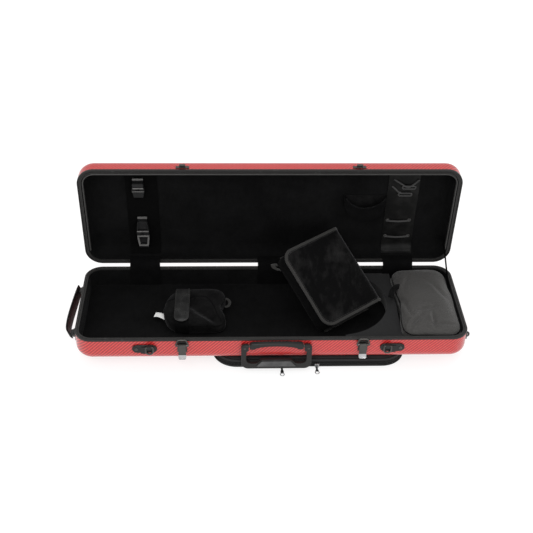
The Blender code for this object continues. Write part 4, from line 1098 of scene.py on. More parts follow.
# ---------------------------------------------------------------- inside the base
def make_bout_block():
    """The felted foam block: crisp hollow, soft edges, and small dents in the foam."""
    edge = LINING_Y - 0.0012 - 3 * GAP
    radius, cx, cy = 0.11, 0.137, 0.015
    top_angle = atan2(edge - cy, (radius ** 2 - (edge - cy) ** 2) ** 0.5) * 180 / pi
    corners = [(0.262, -edge), (0.262, edge)]
    corners += arc(cx, cy, radius, top_angle, -80, 30)
    corners += [(0.15, cy - radius), (0.15, -edge)]
    outline = []
    for a, b in zip(corners, corners[1:] + corners[:1]):
        outline += [a] + between(a, b, 0.008)
    count = len(outline)
    rings = []
    for inset, z in ((0.0, FLOOR_Z + GAP), (0.0, 0.045), (0.0, 0.055), (0.0, 0.0635),
                     (0.0006, 0.065), (0.002, 0.066)):
        ring = []
        for k, (x, y) in enumerate(outline):
            along = (Vector(outline[(k + 1) % count]) - Vector(outline[k - 1])).normalized()
            move = inset - min(0.0005 * wavy((x, y, z), 35.0, 5.0), 0.0)
            ring.append((x + along.y * move, y - along.x * move, z))
        rings.append(ring)
    block = loft("felt_bout_block", rings, "felt", "base", sharp=50.0)
    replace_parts(block, "bout_block")


NECK_OUTLINE = ((-0.203, -0.05), (-0.219, -0.028), (-0.2245, 0.004), (-0.217, 0.036), (-0.2, 0.06),
                (-0.165, 0.067), (-0.125, 0.068), (-0.102, 0.062), (-0.093, 0.045), (-0.095, 0.024),
                (-0.101, 0.006), (-0.096, -0.014), (-0.092, -0.034), (-0.101, -0.052),
                (-0.128, -0.057), (-0.165, -0.058))


NECK_VALLEY = (Vector((-0.172, 0.019)), Vector((-0.104, -0.054)))


def neck_height(x, y):
    """How high the neck rest stands: its valley runs from the strap to the front right."""
    start, end = NECK_VALLEY
    run = end - start
    share = min(max((Vector((x, y)) - start).dot(run) / run.length_squared, 0.0), 1.0)
    away = (Vector((x, y)) - start - run * share).length / (0.0175 - 0.0035 * share)
    valley = max(0.0, 1.0 - away ** 2)
    return 0.03 - 0.0125 * valley - 0.002 * max(0.0, (x + 0.12) / 0.03)


def pillow(name, outline, low, height, look, body, profile):
    """A closed cushion over a plan outline; height(x, y) is its rise and profile its section."""
    cx = sum(p[0] for p in outline) / len(outline)
    cy = sum(p[1] for p in outline) / len(outline)
    rings = []
    for share, rise in profile:
        plan = [(cx + (x - cx) * share, cy + (y - cy) * share) for x, y in outline]
        rings.append([(x, y, low + height(x, y) * rise) for x, y in plan])
    return loft(name, rings, look, body, sharp=60.0)


CUSHION_SECTION = ((0.3, 0.0), (0.7, 0.0), (0.93, 0.0), (0.975, 0.06), (0.995, 0.2), (1.0, 0.42),
                   (0.995, 0.62), (0.975, 0.8), (0.94, 0.92), (0.88, 0.975), (0.78, 1.0),
                   (0.64, 1.0), (0.48, 1.0), (0.32, 1.0), (0.16, 1.0))


def make_neck_rest():
    """The quilted velvet rest with corded seams, its strap, end loop and blank label."""
    outline = [(p.x, p.y) for p in smooth_path([(x, y, 0) for x, y in NECK_OUTLINE], 6, True)]
    low = FLOOR_Z + GAP
    rest = pillow("velvet_neck_rest", outline, low, neck_height, "velvet", "base", CUSHION_SECTION)
    puffed(rest, 0.0022, VOXEL)
    displaced(rest, lambda co, _normal: 0.0006 * wavy(co, 38.0, 4.0) if co.z > low + 0.004 else 0.0)
    resting(rest, low)
    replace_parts(rest, "neck_cushion")
    tree = surface_tree(rest)
    seam = [(-0.218, 0.018, 0.06), (-0.2, 0.024, 0.068), (-0.165, 0.031, 0.068),
            (-0.14, 0.031, 0.068), (-0.129, 0.022, 0.067), (-0.119, 0.000, 0.067),
            (-0.111, -0.026, 0.067), (-0.104, -0.048, 0.066)]
    bm = built(tube_into, snapped(smooth_path(seam, 8), tree, 0.0002), 0.0008, 7)
    edge = [(x, y, low + 0.0245) for x, y in outline[::2]]
    tube_into(bm, snapped(edge, tree, 0.0001), 0.0008, 7, True)
    piece("neck_rest_cording", bm, "velour", "base", 60.0)

    strap_x, half, top, end = -0.1845, 0.0145, 0.0699, -0.037
    path = [(0.0545, top - 0.0002), (0.048, top + 0.0003), (0.035, top), (0.018, top + 0.0002),
            (0.0, top + 0.0004), (-0.016, top + 0.0002), (-0.026, top), (end, top)]
    rings = [strap_section(strap_x, y, z, half) for y, z in path]
    for angle in (15, 30, 45, 58, 69, 78, 84):
        y = end - half * sin(radians(angle))
        rings.append(strap_section(strap_x, y, top, half * cos(radians(angle))))
    strap = loft("neck_strap_leather", rings, "strap_leather", "neck_strap", sharp=50.0)
    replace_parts(strap, "neck_strap")

    def u_line(reach, stops, height):
        """A line along one side of the strap, round its end and back along the other."""
        sides = [(side * reach, y) for side in (-1, 1) for y in stops[::side]]
        turn = [(-reach * cos(radians(a)), end - reach * sin(radians(a)))
                for a in range(15, 180, 15)]
        return [(strap_x + x, y, height) for x, y in sides[:len(stops)] + turn + sides[len(stops):]]

    line, seam_z = half - 0.002, top + 0.0011
    # A pale tube round the strap's edge: a painted highlight where the edge catches the light.
    tube("neck_strap_edge_highlight", u_line(half, (end, -0.01, 0.01, 0.03, 0.05), top), 0.0007, "lip",
         "neck_strap", 6)
    cross_line = [(strap_x - line, -0.0135, seam_z), (strap_x + line, -0.0135, seam_z)]
    stitches("neck_strap_stitches", [u_line(line, (end, 0.0, 0.03, 0.052), seam_z), cross_line],
             "neck_strap", 0.0026)

    def laid(name, places, width, look, body):
        """A strip laid over the cushion at the strap's X."""
        run = snapped(smooth_path([(strap_x, y, z) for y, z in places], 4), tree, 0.0008)
        return strip(name, run, [tree.find_nearest(p)[1] for p in run], width, 0.0012, look, body)

    back = ((0.068, 0.046), (0.067, 0.054), (0.064, 0.062), (0.06, 0.067), (0.056, 0.069))
    anchor = laid("neck_strap_anchor", back, 0.028, "strap_leather", None)
    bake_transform(anchor)
    front = ((-0.03, 0.0672), (-0.044, 0.0668), (-0.0545, 0.0635), (-0.0592, 0.056),
             (-0.06, 0.046), (-0.0598, 0.04))
    laid("neck_strap_landing", front, 0.029, "velour", "base")
    loop = [(-0.094, 0.036, 0.058), (-0.088, 0.032, 0.0575), (-0.0855, 0.024, 0.056),
            (-0.0885, 0.015, 0.055), (-0.095, 0.012, 0.055)]
    strip("neck_rest_pull_loop", smooth_path(loop, 5), (0, 0, 1), 0.006, 0.001, "binding", "base")
    tag = smooth_path([(-0.2185, -0.0135, 0.0475), (-0.2265, -0.0085, 0.0485),
                       (-0.2345, -0.0035, 0.0475), (-0.242, 0.0, 0.045)], 5)
    strip("neck_rest_blank_label", tag, (0.1, -0.25, 1.0), 0.0125, 0.0005, "label", "base")


def strap_section(x, y, z, half, thickness=0.0018):
    """A strap's cross-section with rounded sides."""
    edge = min(thickness * 0.42, half * 0.8)
    return [(x + u, y, z + v) for u, v in rounded(half, thickness / 2, edge, steps=3)]


BAG_LOW, BAG_HIGH, BAG_HEIGHT = (0.262, -0.1125), (0.3858, 0.1115), 0.0545
BAG_WRINKLES = (                 # place from the bag's middle, angle, length, width and depth
    (-0.045, -0.03, 1.9, 0.05, 0.0045, 0.0022), (-0.03, -0.07, 1.1, 0.04, 0.005, 0.0024),
    (0.004, -0.075, 1.75, 0.034, 0.004, 0.002), (-0.01, -0.04, 0.5, 0.036, 0.0055, 0.0016),
    (0.03, 0.02, 2.2, 0.06, 0.006, 0.001), (-0.035, 0.05, 1.4, 0.045, 0.0055, 0.0012),
    (0.02, -0.085, 0.2, 0.04, 0.004, 0.0014))


def make_nylon_bag():
    """The soft nylon bag: puffed sides, pulled wrinkles, corded seams and a pull tab."""
    cx, cy = (BAG_LOW[0] + BAG_HIGH[0]) / 2, (BAG_LOW[1] + BAG_HIGH[1]) / 2
    hx, hy = (BAG_HIGH[0] - BAG_LOW[0]) / 2 - 0.001, (BAG_HIGH[1] - BAG_LOW[1]) / 2 - 0.001
    outline = rounded(hx, hy, 0.026, cx, cy, 10, (7, 18))
    waist = []
    for x, y in outline:
        pull = 0.006 * max(0.0, 1 - abs(y + 0.01) / 0.05) if x < cx else 0.0
        ease = 0.003 * soft_step(y, 0.015, 0.03) if x > cx else 0.0
        waist.append((x + pull - ease, y))
    low = FLOOR_Z + GAP

    def rise(x, y):
        return BAG_HEIGHT * (1 - ((x - cx) / hx) ** 4 * 0.16 - ((y - cy) / hy) ** 4 * 0.13)

    section = ((0.3, 0.0), (0.7, 0.0), (0.9, 0.0), (0.955, 0.08), (0.985, 0.25), (1.0, 0.5),
               (0.995, 0.72), (0.975, 0.88), (0.93, 0.955), (0.86, 0.99), (0.74, 1.0), (0.6, 1.0),
               (0.44, 1.0), (0.28, 1.0), (0.14, 1.0))
    bag = pillow("nylon_bag_body", waist, low, rise, "nylon", "nylon_bag", section)
    puffed(bag, 0.0016, VOXEL, 3.0)

    def wrinkle(co, normal):
        x, y = co.x - cx, co.y - cy
        fold = 0.0
        for x0, y0, angle, length, width, depth in BAG_WRINKLES:
            dx, dy = x - x0, y - y0
            along, across = dx * cos(angle) + dy * sin(angle), -dx * sin(angle) + dy * cos(angle)
            across += 0.004 * sin(along * 60.0)
            if abs(along) < length:
                fade = cos(along / length * pi / 2) ** 2
                fold += depth * fade * (0.55 * 2.718 ** -((across / width - 1.3) ** 2)
                                        - 2.718 ** -((across / width) ** 2))
        if normal.z < 0.2:
            fold *= 0.25
        return 2.1 * fold + 0.0012 * wavy(co, 24.0, 7.0) + 0.0003 * wavy(co, 90.0, 8.0)

    displaced(bag, wrinkle)
    resting(bag, low)
    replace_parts(bag, "nylon_bag")
    tree = surface_tree(bag)
    bm = bmesh.new()
    for z in (low + 0.0405, low + 0.006):
        tube_into(bm, snapped([(x, y, z) for x, y in waist[::2]], tree, 0.0003), 0.0012, 8, True)
    piece("nylon_bag_cording", bm, "velour", "nylon_bag", 60.0)
    run = [p for p in waist if p[0] < cx + 0.02]
    bm = bmesh.new()
    for z in (low + 0.0215, low + 0.0265):
        tube_into(bm, snapped([(x, y, z) for x, y in run[::2]], tree, 0.0001), 0.0006, 6)
    piece("nylon_bag_zip_coil", bm, "plastic", "nylon_bag", 60.0)
    tab = smooth_path([(0.279, 0.04, 0.085), (0.2715, 0.037, 0.0885), (0.263, 0.03, 0.089),
                       (0.2555, 0.019, 0.086), (0.252, 0.008, 0.081)], 5)
    strip("nylon_bag_pull_tab", tab, (0.35, -0.35, 1.0), 0.012, 0.0016, "velvet", "nylon_bag")


# ---------------------------------------------------------------- slanted velvet pouch
POUCH_WIDTH, POUCH_DEPTH, POUCH_HEIGHT = 0.15, 0.182, 0.046
POUCH_CORNER = (0.0965, -0.0632, 0.0385)
POUCH_YAW, POUCH_PITCH, POUCH_ROLL = radians(36.92), radians(34.13), radians(4.3)


def pouch_frame():
    """Where the pouch stands: from its own axes to the model's."""
    across = Matrix.Rotation(POUCH_YAW, 3, "Z") @ Matrix.Rotation(POUCH_PITCH, 3, "X")
    rolled = across @ Matrix.Rotation(-POUCH_ROLL, 3, "Y")
    return Matrix.Translation(POUCH_CORNER) @ rolled.to_4x4()


def pouch_ring(low_x, high_x, low_y, high_y, radius):
    """A round-cornered outline in the pouch's own plan."""
    middle = (low_x + high_x) / 2, (low_y + high_y) / 2
    return rounded((high_x - low_x) / 2, (high_y - low_y) / 2, radius, *middle, 8, (13, 16))


def binding_into(bm, path, wide, thick):
    """A folded edge tape: a flattened tube that wraps a panel's edge."""
    points = [Vector(p) for p in path]
    rings = []
    for k, p in enumerate(points):
        ahead = ahead_at(points, k)
        side = ahead.cross(Vector((0, 0, 1))).normalized()
        up = side.cross(ahead).normalized()
        rings.append([p + side * u + up * v
                      for u, v in rounded(wide / 2, thick / 2, thick * 0.48, steps=3)])
    loft_into(bm, rings)


def cloth(name, grid, thickness, look, body, lid=False):
    """A sheet over a grid of points, thickened evenly to both sides."""
    bm = bmesh.new()
    lines = [[bm.verts.new(point) for point in line] for line in grid]
    for lower, upper in zip(lines, lines[1:]):
        for k in range(len(lower) - 1):
            bm.faces.new((lower[k], lower[k + 1], upper[k + 1], upper[k]))
    obj = piece(name, bm, look, body, 60.0, lid)
    thick = obj.modifiers.new("thickness", "SOLIDIFY")
    thick.thickness = thickness
    thick.offset = 0.0
    return baked(obj)


def make_pouch():
    """The velvet pouch, its bound back panel and the bound flap that folds over its top."""
    place = pouch_frame()
    w, d, h = POUCH_WIDTH, POUCH_DEPTH, POUCH_HEIGHT
    low_x, high_x, bottom_y, top_y = -0.003, w + 0.0012, -0.0008, d - 0.0006
    h += 0.0015
    levels = ((0.03, 0.0018), (0.008, 0.0014), (0.003, 0.0022), (0.0022, 0.006), (0.0018, 0.016),
              (0.0024, 0.028), (0.005, 0.036), (0.01, 0.0425), (0.018, 0.0456), (0.032, 0.046))
    rings = [[(x, y, z) for x, y in pouch_ring(low_x + inset, high_x - inset, bottom_y + inset,
                                               top_y - inset - 0.002 * z / h, 0.014)]
             for inset, z in levels]
    body = loft("velvet_pouch_body", rings, "velour", "pouch", sharp=60.0)
    puffed(body, 0.0016, VOXEL, 3.0)
    displaced(body, lambda co, _normal: 0.0009 * wavy(co, 22.0, 9.0) - 0.0004)
    tree = surface_tree(body)

    edges = bmesh.new()
    for y in (bottom_y + 0.002, top_y - 0.0024):
        binding_into(edges,
                     [(x, y, 0.0022) for x, _ in between((low_x + 0.012, y), (high_x - 0.01, y),
                                                         0.008)], 0.0052, 0.0034)
    back_edge = piece("pouch_back_binding", edges, "binding", "pouch", 50.0)

    low_y, high_y, corner, lift = 0.001, d - 0.0038, 0.022, 0.001
    columns, rows = 34, 30
    wrap, bend = 0.018, 0.015         # the flap's reach past the top, and its fold's radius
    flat = w - bend

    def flap_point(s, y):
        """A point of the flap: s runs from its free edge over the pouch and down the fold."""
        if s > flat:
            turn = min((s - flat) / bend, pi / 2)
            return Vector((flat + bend * sin(turn), y, h - bend * (1 - cos(turn))
                           - max(0.0, s - flat - bend * pi / 2)))
        rest = tree.find_nearest(Vector((s, min(max(y, 0.012), d - 0.016), h)))[0]
        crown = 0.0024 * sin(pi * s / w) * sin(pi * soft_step(y, low_y, high_y - low_y))
        p = Vector((s, y, max(rest.z + lift, h - 0.001) + crown))
        fade = min((flat - s) / 0.02, 1.0)
        p.z += (0.0008 * wavy(p, 26.0, 11.0) + 0.0005 * wavy(p, 60.0, 5.0)) * fade
        p.z += (h - p.z) * (1 - fade) ** 2
        return p

    def flap_border(inset, radius):
        """The flap's outline, inset: up one side, round the free end and down the other."""
        y0, y1, x0 = low_y + inset, high_y - inset, inset + 0.0015
        fold = [(flat + bend * share, y0) for share in (1.5, 1.25, 1.0, 0.75, 0.5, 0.25)]
        plan = fold + between((flat, y0), (radius + x0, y0),
                              0.006) + arc(radius + x0, y0 + radius, radius, 270, 180, 10)
        plan += between((x0, y0 + radius), (x0, y1 - radius), 0.006)
        plan += arc(radius + x0, y1 - radius, radius, 180, 90,
                    10) + between((radius + x0, y1), (flat, y1), 0.006)
        plan += [(s, y1) for s, _ in fold[::-1]]
        return [flap_point(s, y) for s, y in plan]

    grid = []
    for r in range(rows + 1):
        y = low_y + (high_y - low_y) * r / rows
        edge = min(y - low_y, high_y - y)
        start = corner - (corner ** 2 - (corner - edge) ** 2) ** 0.5 if edge < corner else 0.0
        start += 0.0015
        grid.append([flap_point(start + (w + wrap - start) * c / columns, y)
                     for c in range(columns + 1)])
    flap = cloth("velvet_pouch_flap", grid, 0.0018, "pouch_velvet", None)

    tape = built(binding_into, flap_border(0.0006, corner), 0.0064, 0.0032)
    flap_edge = piece("pouch_flap_binding", tape, "binding", None, 50.0)
    seam_line = [p + Vector((0, 0, 0.0011)) for p in flap_border(0.0052, corner - 0.004)]
    seam = built(stitch_into, seam_line, 0.0032, 0.0024, 0.0003)
    flap_seam = piece("pouch_flap_stitches", seam, "thread", None, 60.0)

    path = smooth_path([(0.002, d - 0.012, 0.004), (-0.006, d - 0.009, 0.006),
                        (-0.011, d - 0.01, 0.009), (-0.012, d - 0.015, 0.011),
                        (-0.007, d - 0.021, 0.01), (0.000, d - 0.024, 0.006)], 5)
    loop = strip("pouch_corner_loop", path, (0.2, 0.5, 1), 0.0085, 0.001, "binding", "pouch")
    for obj in (body, back_edge, loop, flap, flap_edge, flap_seam):
        obj.data.transform(place)
    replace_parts(body, "pouch_body")
    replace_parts(flap, "pouch_flap")
    start, end = place @ Vector((w, 0, h - 0.006)), place @ Vector((w - 0.008, 0, h + 0.003))
    for obj in (flap, flap_edge, flap_seam):
        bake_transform(obj)


# ---------------------------------------------------------------- inside the lid
BAND_THICKNESS, LID_FILLET = 0.0014, 0.0225
LID_FILLET_Y, LID_FILLET_Z = LINING_Y - LID_FILLET, LID_CEILING - LID_FILLET


def band_path(lift=0.0):
    """The middle of a band on the shut lid's plush, up one fillet, across and down the other."""
    off = BAND_THICKNESS / 2 + GAP + lift
    path = [(-LID_FILLET_Y - (LID_FILLET - off) * cos(radians(angle)), LID_FILLET_Z
             + (LID_FILLET - off) * sin(radians(angle))) for angle in (8, 22, 36, 50, 64, 78, 90)]
    path += between(path[-1], (LID_FILLET_Y, LID_CEILING - off), 0.01)
    for angle in (90, 78, 66, 54, 42, 30, 22):
        path.append((LID_FILLET_Y + (LID_FILLET - off) * cos(radians(angle)),
                     LID_FILLET_Z + (LID_FILLET - off) * sin(radians(angle))))
    return path


def make_band(name, node, x, look):
    """A wide band across the lid with slightly waved edges."""
    path = band_path()
    columns = 13
    rings = []
    for k, (y, z) in enumerate(path):
        before, after = path[max(k - 1, 0)], path[min(k + 1, len(path) - 1)]
        dy, dz = after[0] - before[0], after[1] - before[1]
        length = hypot(dy, dz)
        out = Vector((0, dz / length, -dy / length))
        front, back = [], []
        for c in range(columns):
            t = c / (columns - 1) * 2 - 1
            edge = BAND_THICKNESS / 2 * (0.6 if abs(t) == 1 else 1.0)
            sway = 0.0006 * wavy((0, y, 0), 22.0, x * 30)
            ease = 0.00035 * wavy((t + x, y * 18, 0), 1.6, 1.0)
            middle = Vector((x + t * BAND_HALF + sway, y, z))
            front.append(middle + out * max(ease, -0.0002) + out * edge)
            back.append(middle - out * edge)
        rings.append(front + back[::-1])
    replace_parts(loft(name, rings, look, "lid", sharp=50.0, lid=True), node)


def band_run(x, lift):
    """A line along a band at x, for stitching."""
    return [(x, y, z) for y, z in band_path(lift)[3:-4]]


CLIPS = (                        # x, front edge, back edge, half width at each, depth
    (-0.2745, -0.0728, -0.0605, 0.0115, 0.0115, 0.0085),
    (-0.2745, -0.055, -0.0375, 0.013, 0.0095, 0.0085),
    (-0.271, 0.0275, 0.0525, 0.0105, 0.013, 0.009),
    (-0.271, 0.0635, 0.0965, 0.0135, 0.01, 0.006),
)
CLIP_TOP = LID_CEILING - BAND_THICKNESS - 0.0022 - 3 * GAP
CLIP_STEPS = {                 # each block: start and stop from the front edge, top, and its bright edge, a pale strip painted as highlight
    1: ((0.0, 0.0085, 0.0, 0.0), (0.0094, 0.0123, 0.0, 0.0027)),
    2: ((0.0, 0.0048, 0.0, 0.0016), (0.006, 0.0175, 0.0018, 0.0)),
    3: ((0.0, 0.019, 0.0034, 0.0), (0.0215, 0.025, 0.0, 0.003)),
    4: ((0.0, 0.0055, 0.0, 0.004), (0.025, 0.033, 0.0, 0.004)),
}


def make_clips():
    """The bow clips: moulded blocks with ribs, panels and a window, on notched cradles, with pale
    strips along some edges as painted highlights.
    """
    make_band("bow_velour_band", "bow_band", BOW_X, "band")
    edges = [band_run(BOW_X + side * 0.0305, -0.0008) for side in (-1, 1)]
    stitches("bow_band_stitches", edges, "lid", 0.0032, True)
    for label in ("front", "back"):
        finer("bow_clip_base_" + label, "clip", 0.0004)
    mounts, bright = bmesh.new(), bmesh.new()

    def wedge(target, cx, half, y0, y1, pivot_y, slope, top):
        """A plate whose face slopes back to a clip's pivot, so that the clip can turn over it."""
        section = [(y0, CLIP_TOP - slope * (pivot_y - y0)), (y1, CLIP_TOP - slope * (pivot_y - y1)),
                   (y1, CLIP_TOP + top), (y0, CLIP_TOP + top)]
        loft_into(target, [[(x, y, z) for y, z in section] for x in (cx - half, cx + half)])

    for cx, y0, y1, half, pivot_y in ((-0.2745, -0.0815, -0.0736, 0.0108, -0.0728),
                                      (-0.271, 0.0182, 0.0268, 0.01, 0.0275)):
        wedge(mounts, cx, half, y0, y1, pivot_y, 0.215, 0.0022)
        # A pale strip on the front of each cradle: a painted highlight.
        wedge(bright, cx, half + 0.0002, y0 - 0.0003, y0 + 0.004, pivot_y, 0.245, 0.001)
    bevelled(piece("bow_clip_mounts", mounts, "clip", "lid", 30.0, True), 0.0002, 2)
    bevelled(piece("bow_clip_mount_edges", bright, "clip_edge", "lid", 30.0, True), 0.0002, 1)
    for number, (x, front, back, front_half, back_half, depth) in enumerate(CLIPS, 1):
        body = "bow_clip_%d" % number
        low, high = CLIP_TOP - depth, CLIP_TOP
        bm, bright = bmesh.new(), bmesh.new()

        def half_at(y):
            return front_half + (back_half - front_half) * (y - front) / (back - front)

        def slab(target, y0, y1, z0, z1, inset=0.0):
            wide, narrow = half_at(y0) - inset, half_at(y1) - inset
            plate_into(target, [(x - wide, y0), (x + wide, y0), (x + narrow, y1), (x - narrow, y1)],
                       z0, z1)

        for start, stop, top, edge in CLIP_STEPS[number]:
            y0, y1 = front + start, front + stop
            slab(bm, y0, y1, low + top, high)
            # A pale strip along a step's front edge: a painted highlight.
            if edge:
                slab(bright, y0 + 0.0001, y0 + edge, low + top - 0.0005, low + top + 0.0003, 0.0005)
        if number > 2:
            y0, y1 = (front + 0.005, back - 0.0075) if number == 4 else (front, back - 0.0035)
            wide = 0.0036 if number == 4 else 0.0022
            for side in (-1, 1):
                rail = [(x + side * half_at(y0), y0), (x + side * (half_at(y0) - wide), y0),
                        (x + side * (half_at(y1) - wide), y1), (x + side * half_at(y1), y1)]
                # On the fourth clip the rails are pale, a painted highlight.
                plate_into(bright if number == 4 else bm, rail[::side], low, high)
        if number < 4:
            slab(bm, front, back, high - 0.0022, high, 0.0008)
        # The pale strips as one piece: painted highlights.
        highlight_piece = piece("bow_clip_edges_%d" % number, bright, "clip_edge", body, 30.0, True)
        bevelled(highlight_piece, 0.0002, 1)
        clip = piece("moulded_bow_clip_%d" % number, bm, "clip", body, 30.0, True)
        bevelled(clip, 0.0004, 2)
        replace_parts(clip, "bow_clip_%d" % number)


def make_tip_band():
    """The leatherette band with stitched edges and hem, four elastic loops and their tabs."""
    make_band("leatherette_tip_band", "tip_band", TIP_X, "leather")
    edges = [band_run(TIP_X + side * 0.03, -0.0009) for side in (-1, 1)]
    hem = [(TIP_X + 0.03 * t, LID_FILLET_Y + 0.0165, LID_FILLET_Z + 0.0126)
           for t in (-1, -0.5, 0, 0.5, 1)]
    stitches("tip_band_stitches", edges, "lid", 0.003, True)
    piece("tip_band_hem", built(tube_into, hem, 0.0008, 6), "strap_leather", "lid", 60.0, True)

    face = LID_CEILING - BAND_THICKNESS - GAP - 0.0009
    cords, eyelets, tabs = bmesh.new(), bmesh.new(), bmesh.new()
    for left, right, y, sag in ((0.255, 0.302, 0.029, 0.0012), (0.254, 0.304, 0.072, 0.0014)):
        path = smooth_path([(left, y, face + 0.0006), (left + 0.004, y + 0.001, face - 0.0016),
                            (left + 0.014, y + sag, face - 0.0026),
                            ((left + right) / 2, y + sag * 1.2, face - 0.003),
                            (right - 0.014, y + sag, face - 0.0026),
                            (right - 0.004, y + 0.001, face - 0.0016),
                            (right, y, face + 0.0006)], 5)
        tube_into(cords, path, 0.0019, 8)
        for x in (left, right):
            tube_into(eyelets, [(px, py, face - 0.0003) for px, py in circle(x, y, 0.0029, 20)],
                      0.0012, 8, True)
        middle = (left + right) / 2
        plate_into(tabs, rounded(0.0125, 0.0042, 0.0015, middle, y + 0.0095, 4), face - 0.0014,
                   face + 0.0002)
        plate_into(tabs, rounded(0.0098, 0.0018, 0.0008, middle, y + 0.0095, 3), face - 0.002,
                   face - 0.0012)
    for cord in (
            ((0.259, -0.0775), (0.274, -0.068), (0.287, -0.06), (0.296, -0.062), (0.311, -0.0775)),
            ((0.256, -0.06), (0.262, -0.056), (0.269, -0.048), (0.276, -0.0455))):
        path = [(x, y, face - 0.0022 + 0.002 * (k == 0)) for k, (x, y) in enumerate(cord)]
        tube_into(cords, smooth_path(path, 5), 0.0018, 8)
    for left, right, y in ((0.2775, 0.3053, -0.0585), (0.271, 0.299, -0.0405)):
        middle, half = (left + right) / 2, (right - left) / 2
        loop = [(px, py, face - 0.0024) for px, py in rounded(half, 0.0034, 0.0032, middle, y, 5)]
        tube_into(cords, loop, 0.0015, 8, True)
        plate_into(tabs, rounded(half * 0.86, 0.0018, 0.0014, middle, y, 5), face - 0.0016,
                   face + 0.0002)
    piece("tip_loop_cords", cords, "thread", "lid", 60.0, True)
    piece("tip_loop_eyelets", eyelets, "lip", "lid", 60.0, True)
    bevelled(piece("tip_loop_tabs", tabs, "leather", "lid", 30.0, True), 0.0003)


POCKET_MOUTH, POCKET_BOTTOM = -0.041, 0.022


def make_lid_pocket():
    """The half-moon velvet pocket: its front dips at the mouth and bellies out below."""
    low_x, high_x = 0.159, 0.245
    cx, half = (low_x + high_x) / 2, (high_x - low_x) / 2
    back = LID_CEILING - GAP
    height, straight = 0.0155, 0.012
    columns, rows, wall_share = 40, 12, 0.4

    def outline(t):
        """The pocket's rim from its left corner round the bottom to its right corner."""
        angle = pi * t
        y = POCKET_MOUTH + straight + (POCKET_BOTTOM - POCKET_MOUTH - straight) * sin(angle) ** 0.85
        return cx - half * cos(angle), y if 0 < t < 1 else POCKET_MOUTH + straight * 0.4

    def front_point(t, share):
        """A point of the pocket's front: share runs up its wall, then in towards its mouth."""
        x, y = outline(t)
        if share <= wall_share:
            rise = share / wall_share
            return Vector((x, y - 0.0015 * sin(pi * rise), back - height * rise))
        inward = (share - wall_share) / (1 - wall_share)
        mouth_y = POCKET_MOUTH + 0.002 + 0.027 * sin(pi * t) ** 1.5
        mouth_x = cx + (x - cx) * 0.98
        px, py = x + (mouth_x - x) * inward, y + (min(mouth_y, y) - y) * inward
        belly = 0.0008 * sin(pi * inward) + 0.0006 * wavy((px, py, 0), 40.0, 2.0)
        return Vector((px, py, back - height + belly))

    grid = [[front_point(c / columns, r / rows) for c in range(columns + 1)]
            for r in range(rows + 1)]
    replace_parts(cloth("velvet_lid_pocket", grid, 0.0016, "velour", "lid", True), "lid_pocket")
    base = built(plate_into, [outline(c / 32) for c in range(33)], back - 0.0012, back)
    piece("lid_pocket_back", base, "velvet", "lid", 40.0, True)
    bm = built(tube_into, grid[-1][1:-1], 0.0012, 7)
    tube_into(bm, grid[int(rows * wall_share)][1:-1], 0.0009, 7)
    piece("lid_pocket_cording", bm, "velvet", "lid", 60.0, True)


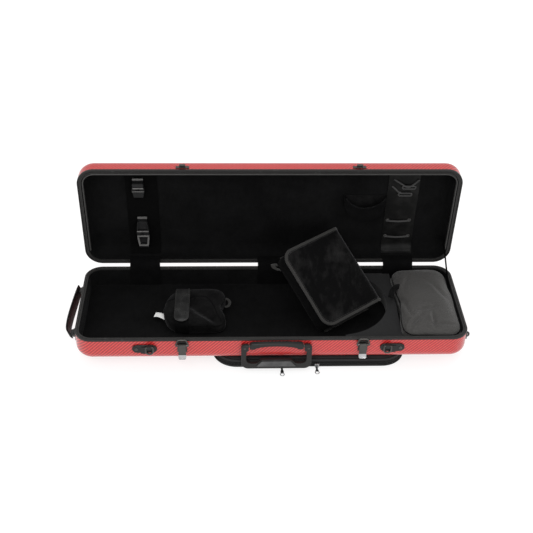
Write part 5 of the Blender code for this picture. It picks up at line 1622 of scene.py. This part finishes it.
# ---------------------------------------------------------------- stage, light and camera
def make_stage():
    """A pale floor, a white world and three soft boxes."""
    bm = bmesh.new()
    bmesh.ops.create_grid(bm, x_segments=1, y_segments=1, size=6.0)
    mesh = bpy.data.meshes.new("studio_floor")
    bm.to_mesh(mesh)
    bm.free()
    floor = bpy.data.objects.new("studio_floor", mesh)
    scene.collection.objects.link(floor)
    floor.location = (0.0, 0.0, -0.0005)
    paint = Shade("pale_floor", 0.9, settings={
        "Specular IOR Level": 0.0, "Emission Color": (1.0, 1.0, 1.0), "Emission Strength": 0.78})
    mesh.materials.append(paint.finish(paint.mix(paint.noise(1.5, 2.0), (0.28, 0.28, 0.28),
                                                 (0.3, 0.3, 0.3))))

    world = bpy.data.worlds.new("studio_world")
    scene.world = world
    world.use_nodes = True
    background = world.node_tree.nodes["Background"]
    background.inputs["Color"].default_value = (1.0, 1.0, 1.0, 1.0)
    background.inputs["Strength"].default_value = 0.8

    def soft_box(name, place, aim, size, power):
        lamp = bpy.data.lights.new(name, "AREA")
        lamp.shape = "RECTANGLE"
        lamp.size, lamp.size_y = size
        lamp.energy = power
        obj = bpy.data.objects.new(name, lamp)
        scene.collection.objects.link(obj)
        obj.location = place
        obj.rotation_euler = (Vector(aim) - Vector(place)).to_track_quat("-Z", "Y").to_euler()

    soft_box("key_box", (-0.6, -1.5, 2.0), (0.0, 0.0, 0.1), (1.6, 0.9), 19.0)
    soft_box("top_box", (0.3, 0.5, 2.2), (0.0, 0.0, 0.1), (2.0, 1.2), 15.0)
    soft_box("front_box", (0.9, -1.9, 0.5), (0.1, 0.0, 0.08), (0.8, 0.9), 8.0)


def make_camera():
    """The camera at the view that the case was seen from."""
    elevation, azimuth, roll = radians(36.4406), radians(-2.6571), radians(1.3668)
    distance, lens, sensor = 1.95859, 65.252, 36.0
    target = Vector((-0.010624, 0.0, 0.16921))
    forward = Vector((-sin(azimuth) * cos(elevation), cos(azimuth) * cos(elevation),
                      -sin(elevation)))
    right = forward.cross(Vector((0, 0, 1))).normalized()
    up = right.cross(forward)
    tilted_right = right * cos(roll) + up * sin(roll)
    tilted_up = up * cos(roll) - right * sin(roll)
    turn = Matrix((tilted_right, tilted_up, -forward)).transposed()
    data = bpy.data.cameras.new("view_camera")
    data.sensor_width, data.lens = sensor, lens
    data.clip_start, data.clip_end = 0.05, 30.0
    camera = bpy.data.objects.new("view_camera", data)
    scene.collection.objects.link(camera)
    camera.matrix_world = Matrix.Translation(target - forward * distance) @ turn.to_4x4()
    scene.camera = camera


make_case()
make_lid_lip()
make_hinges()
make_hinge_straps()
make_lid_stay()
make_handle()
for latch_label, latch_x in (("left", -0.18), ("right", 0.18)):
    make_latch(latch_label, latch_x)
make_fitting("left", -0.2545, 1)
make_fitting("right", 0.2395, -1)
make_end_handle()
make_music_pocket()
make_feet()
make_bout_block()
make_neck_rest()
make_nylon_bag()
make_pouch()
make_clips()
make_tip_band()
make_lid_pocket()
make_stage()
make_camera()
scene.view_settings.view_transform = "Standard"
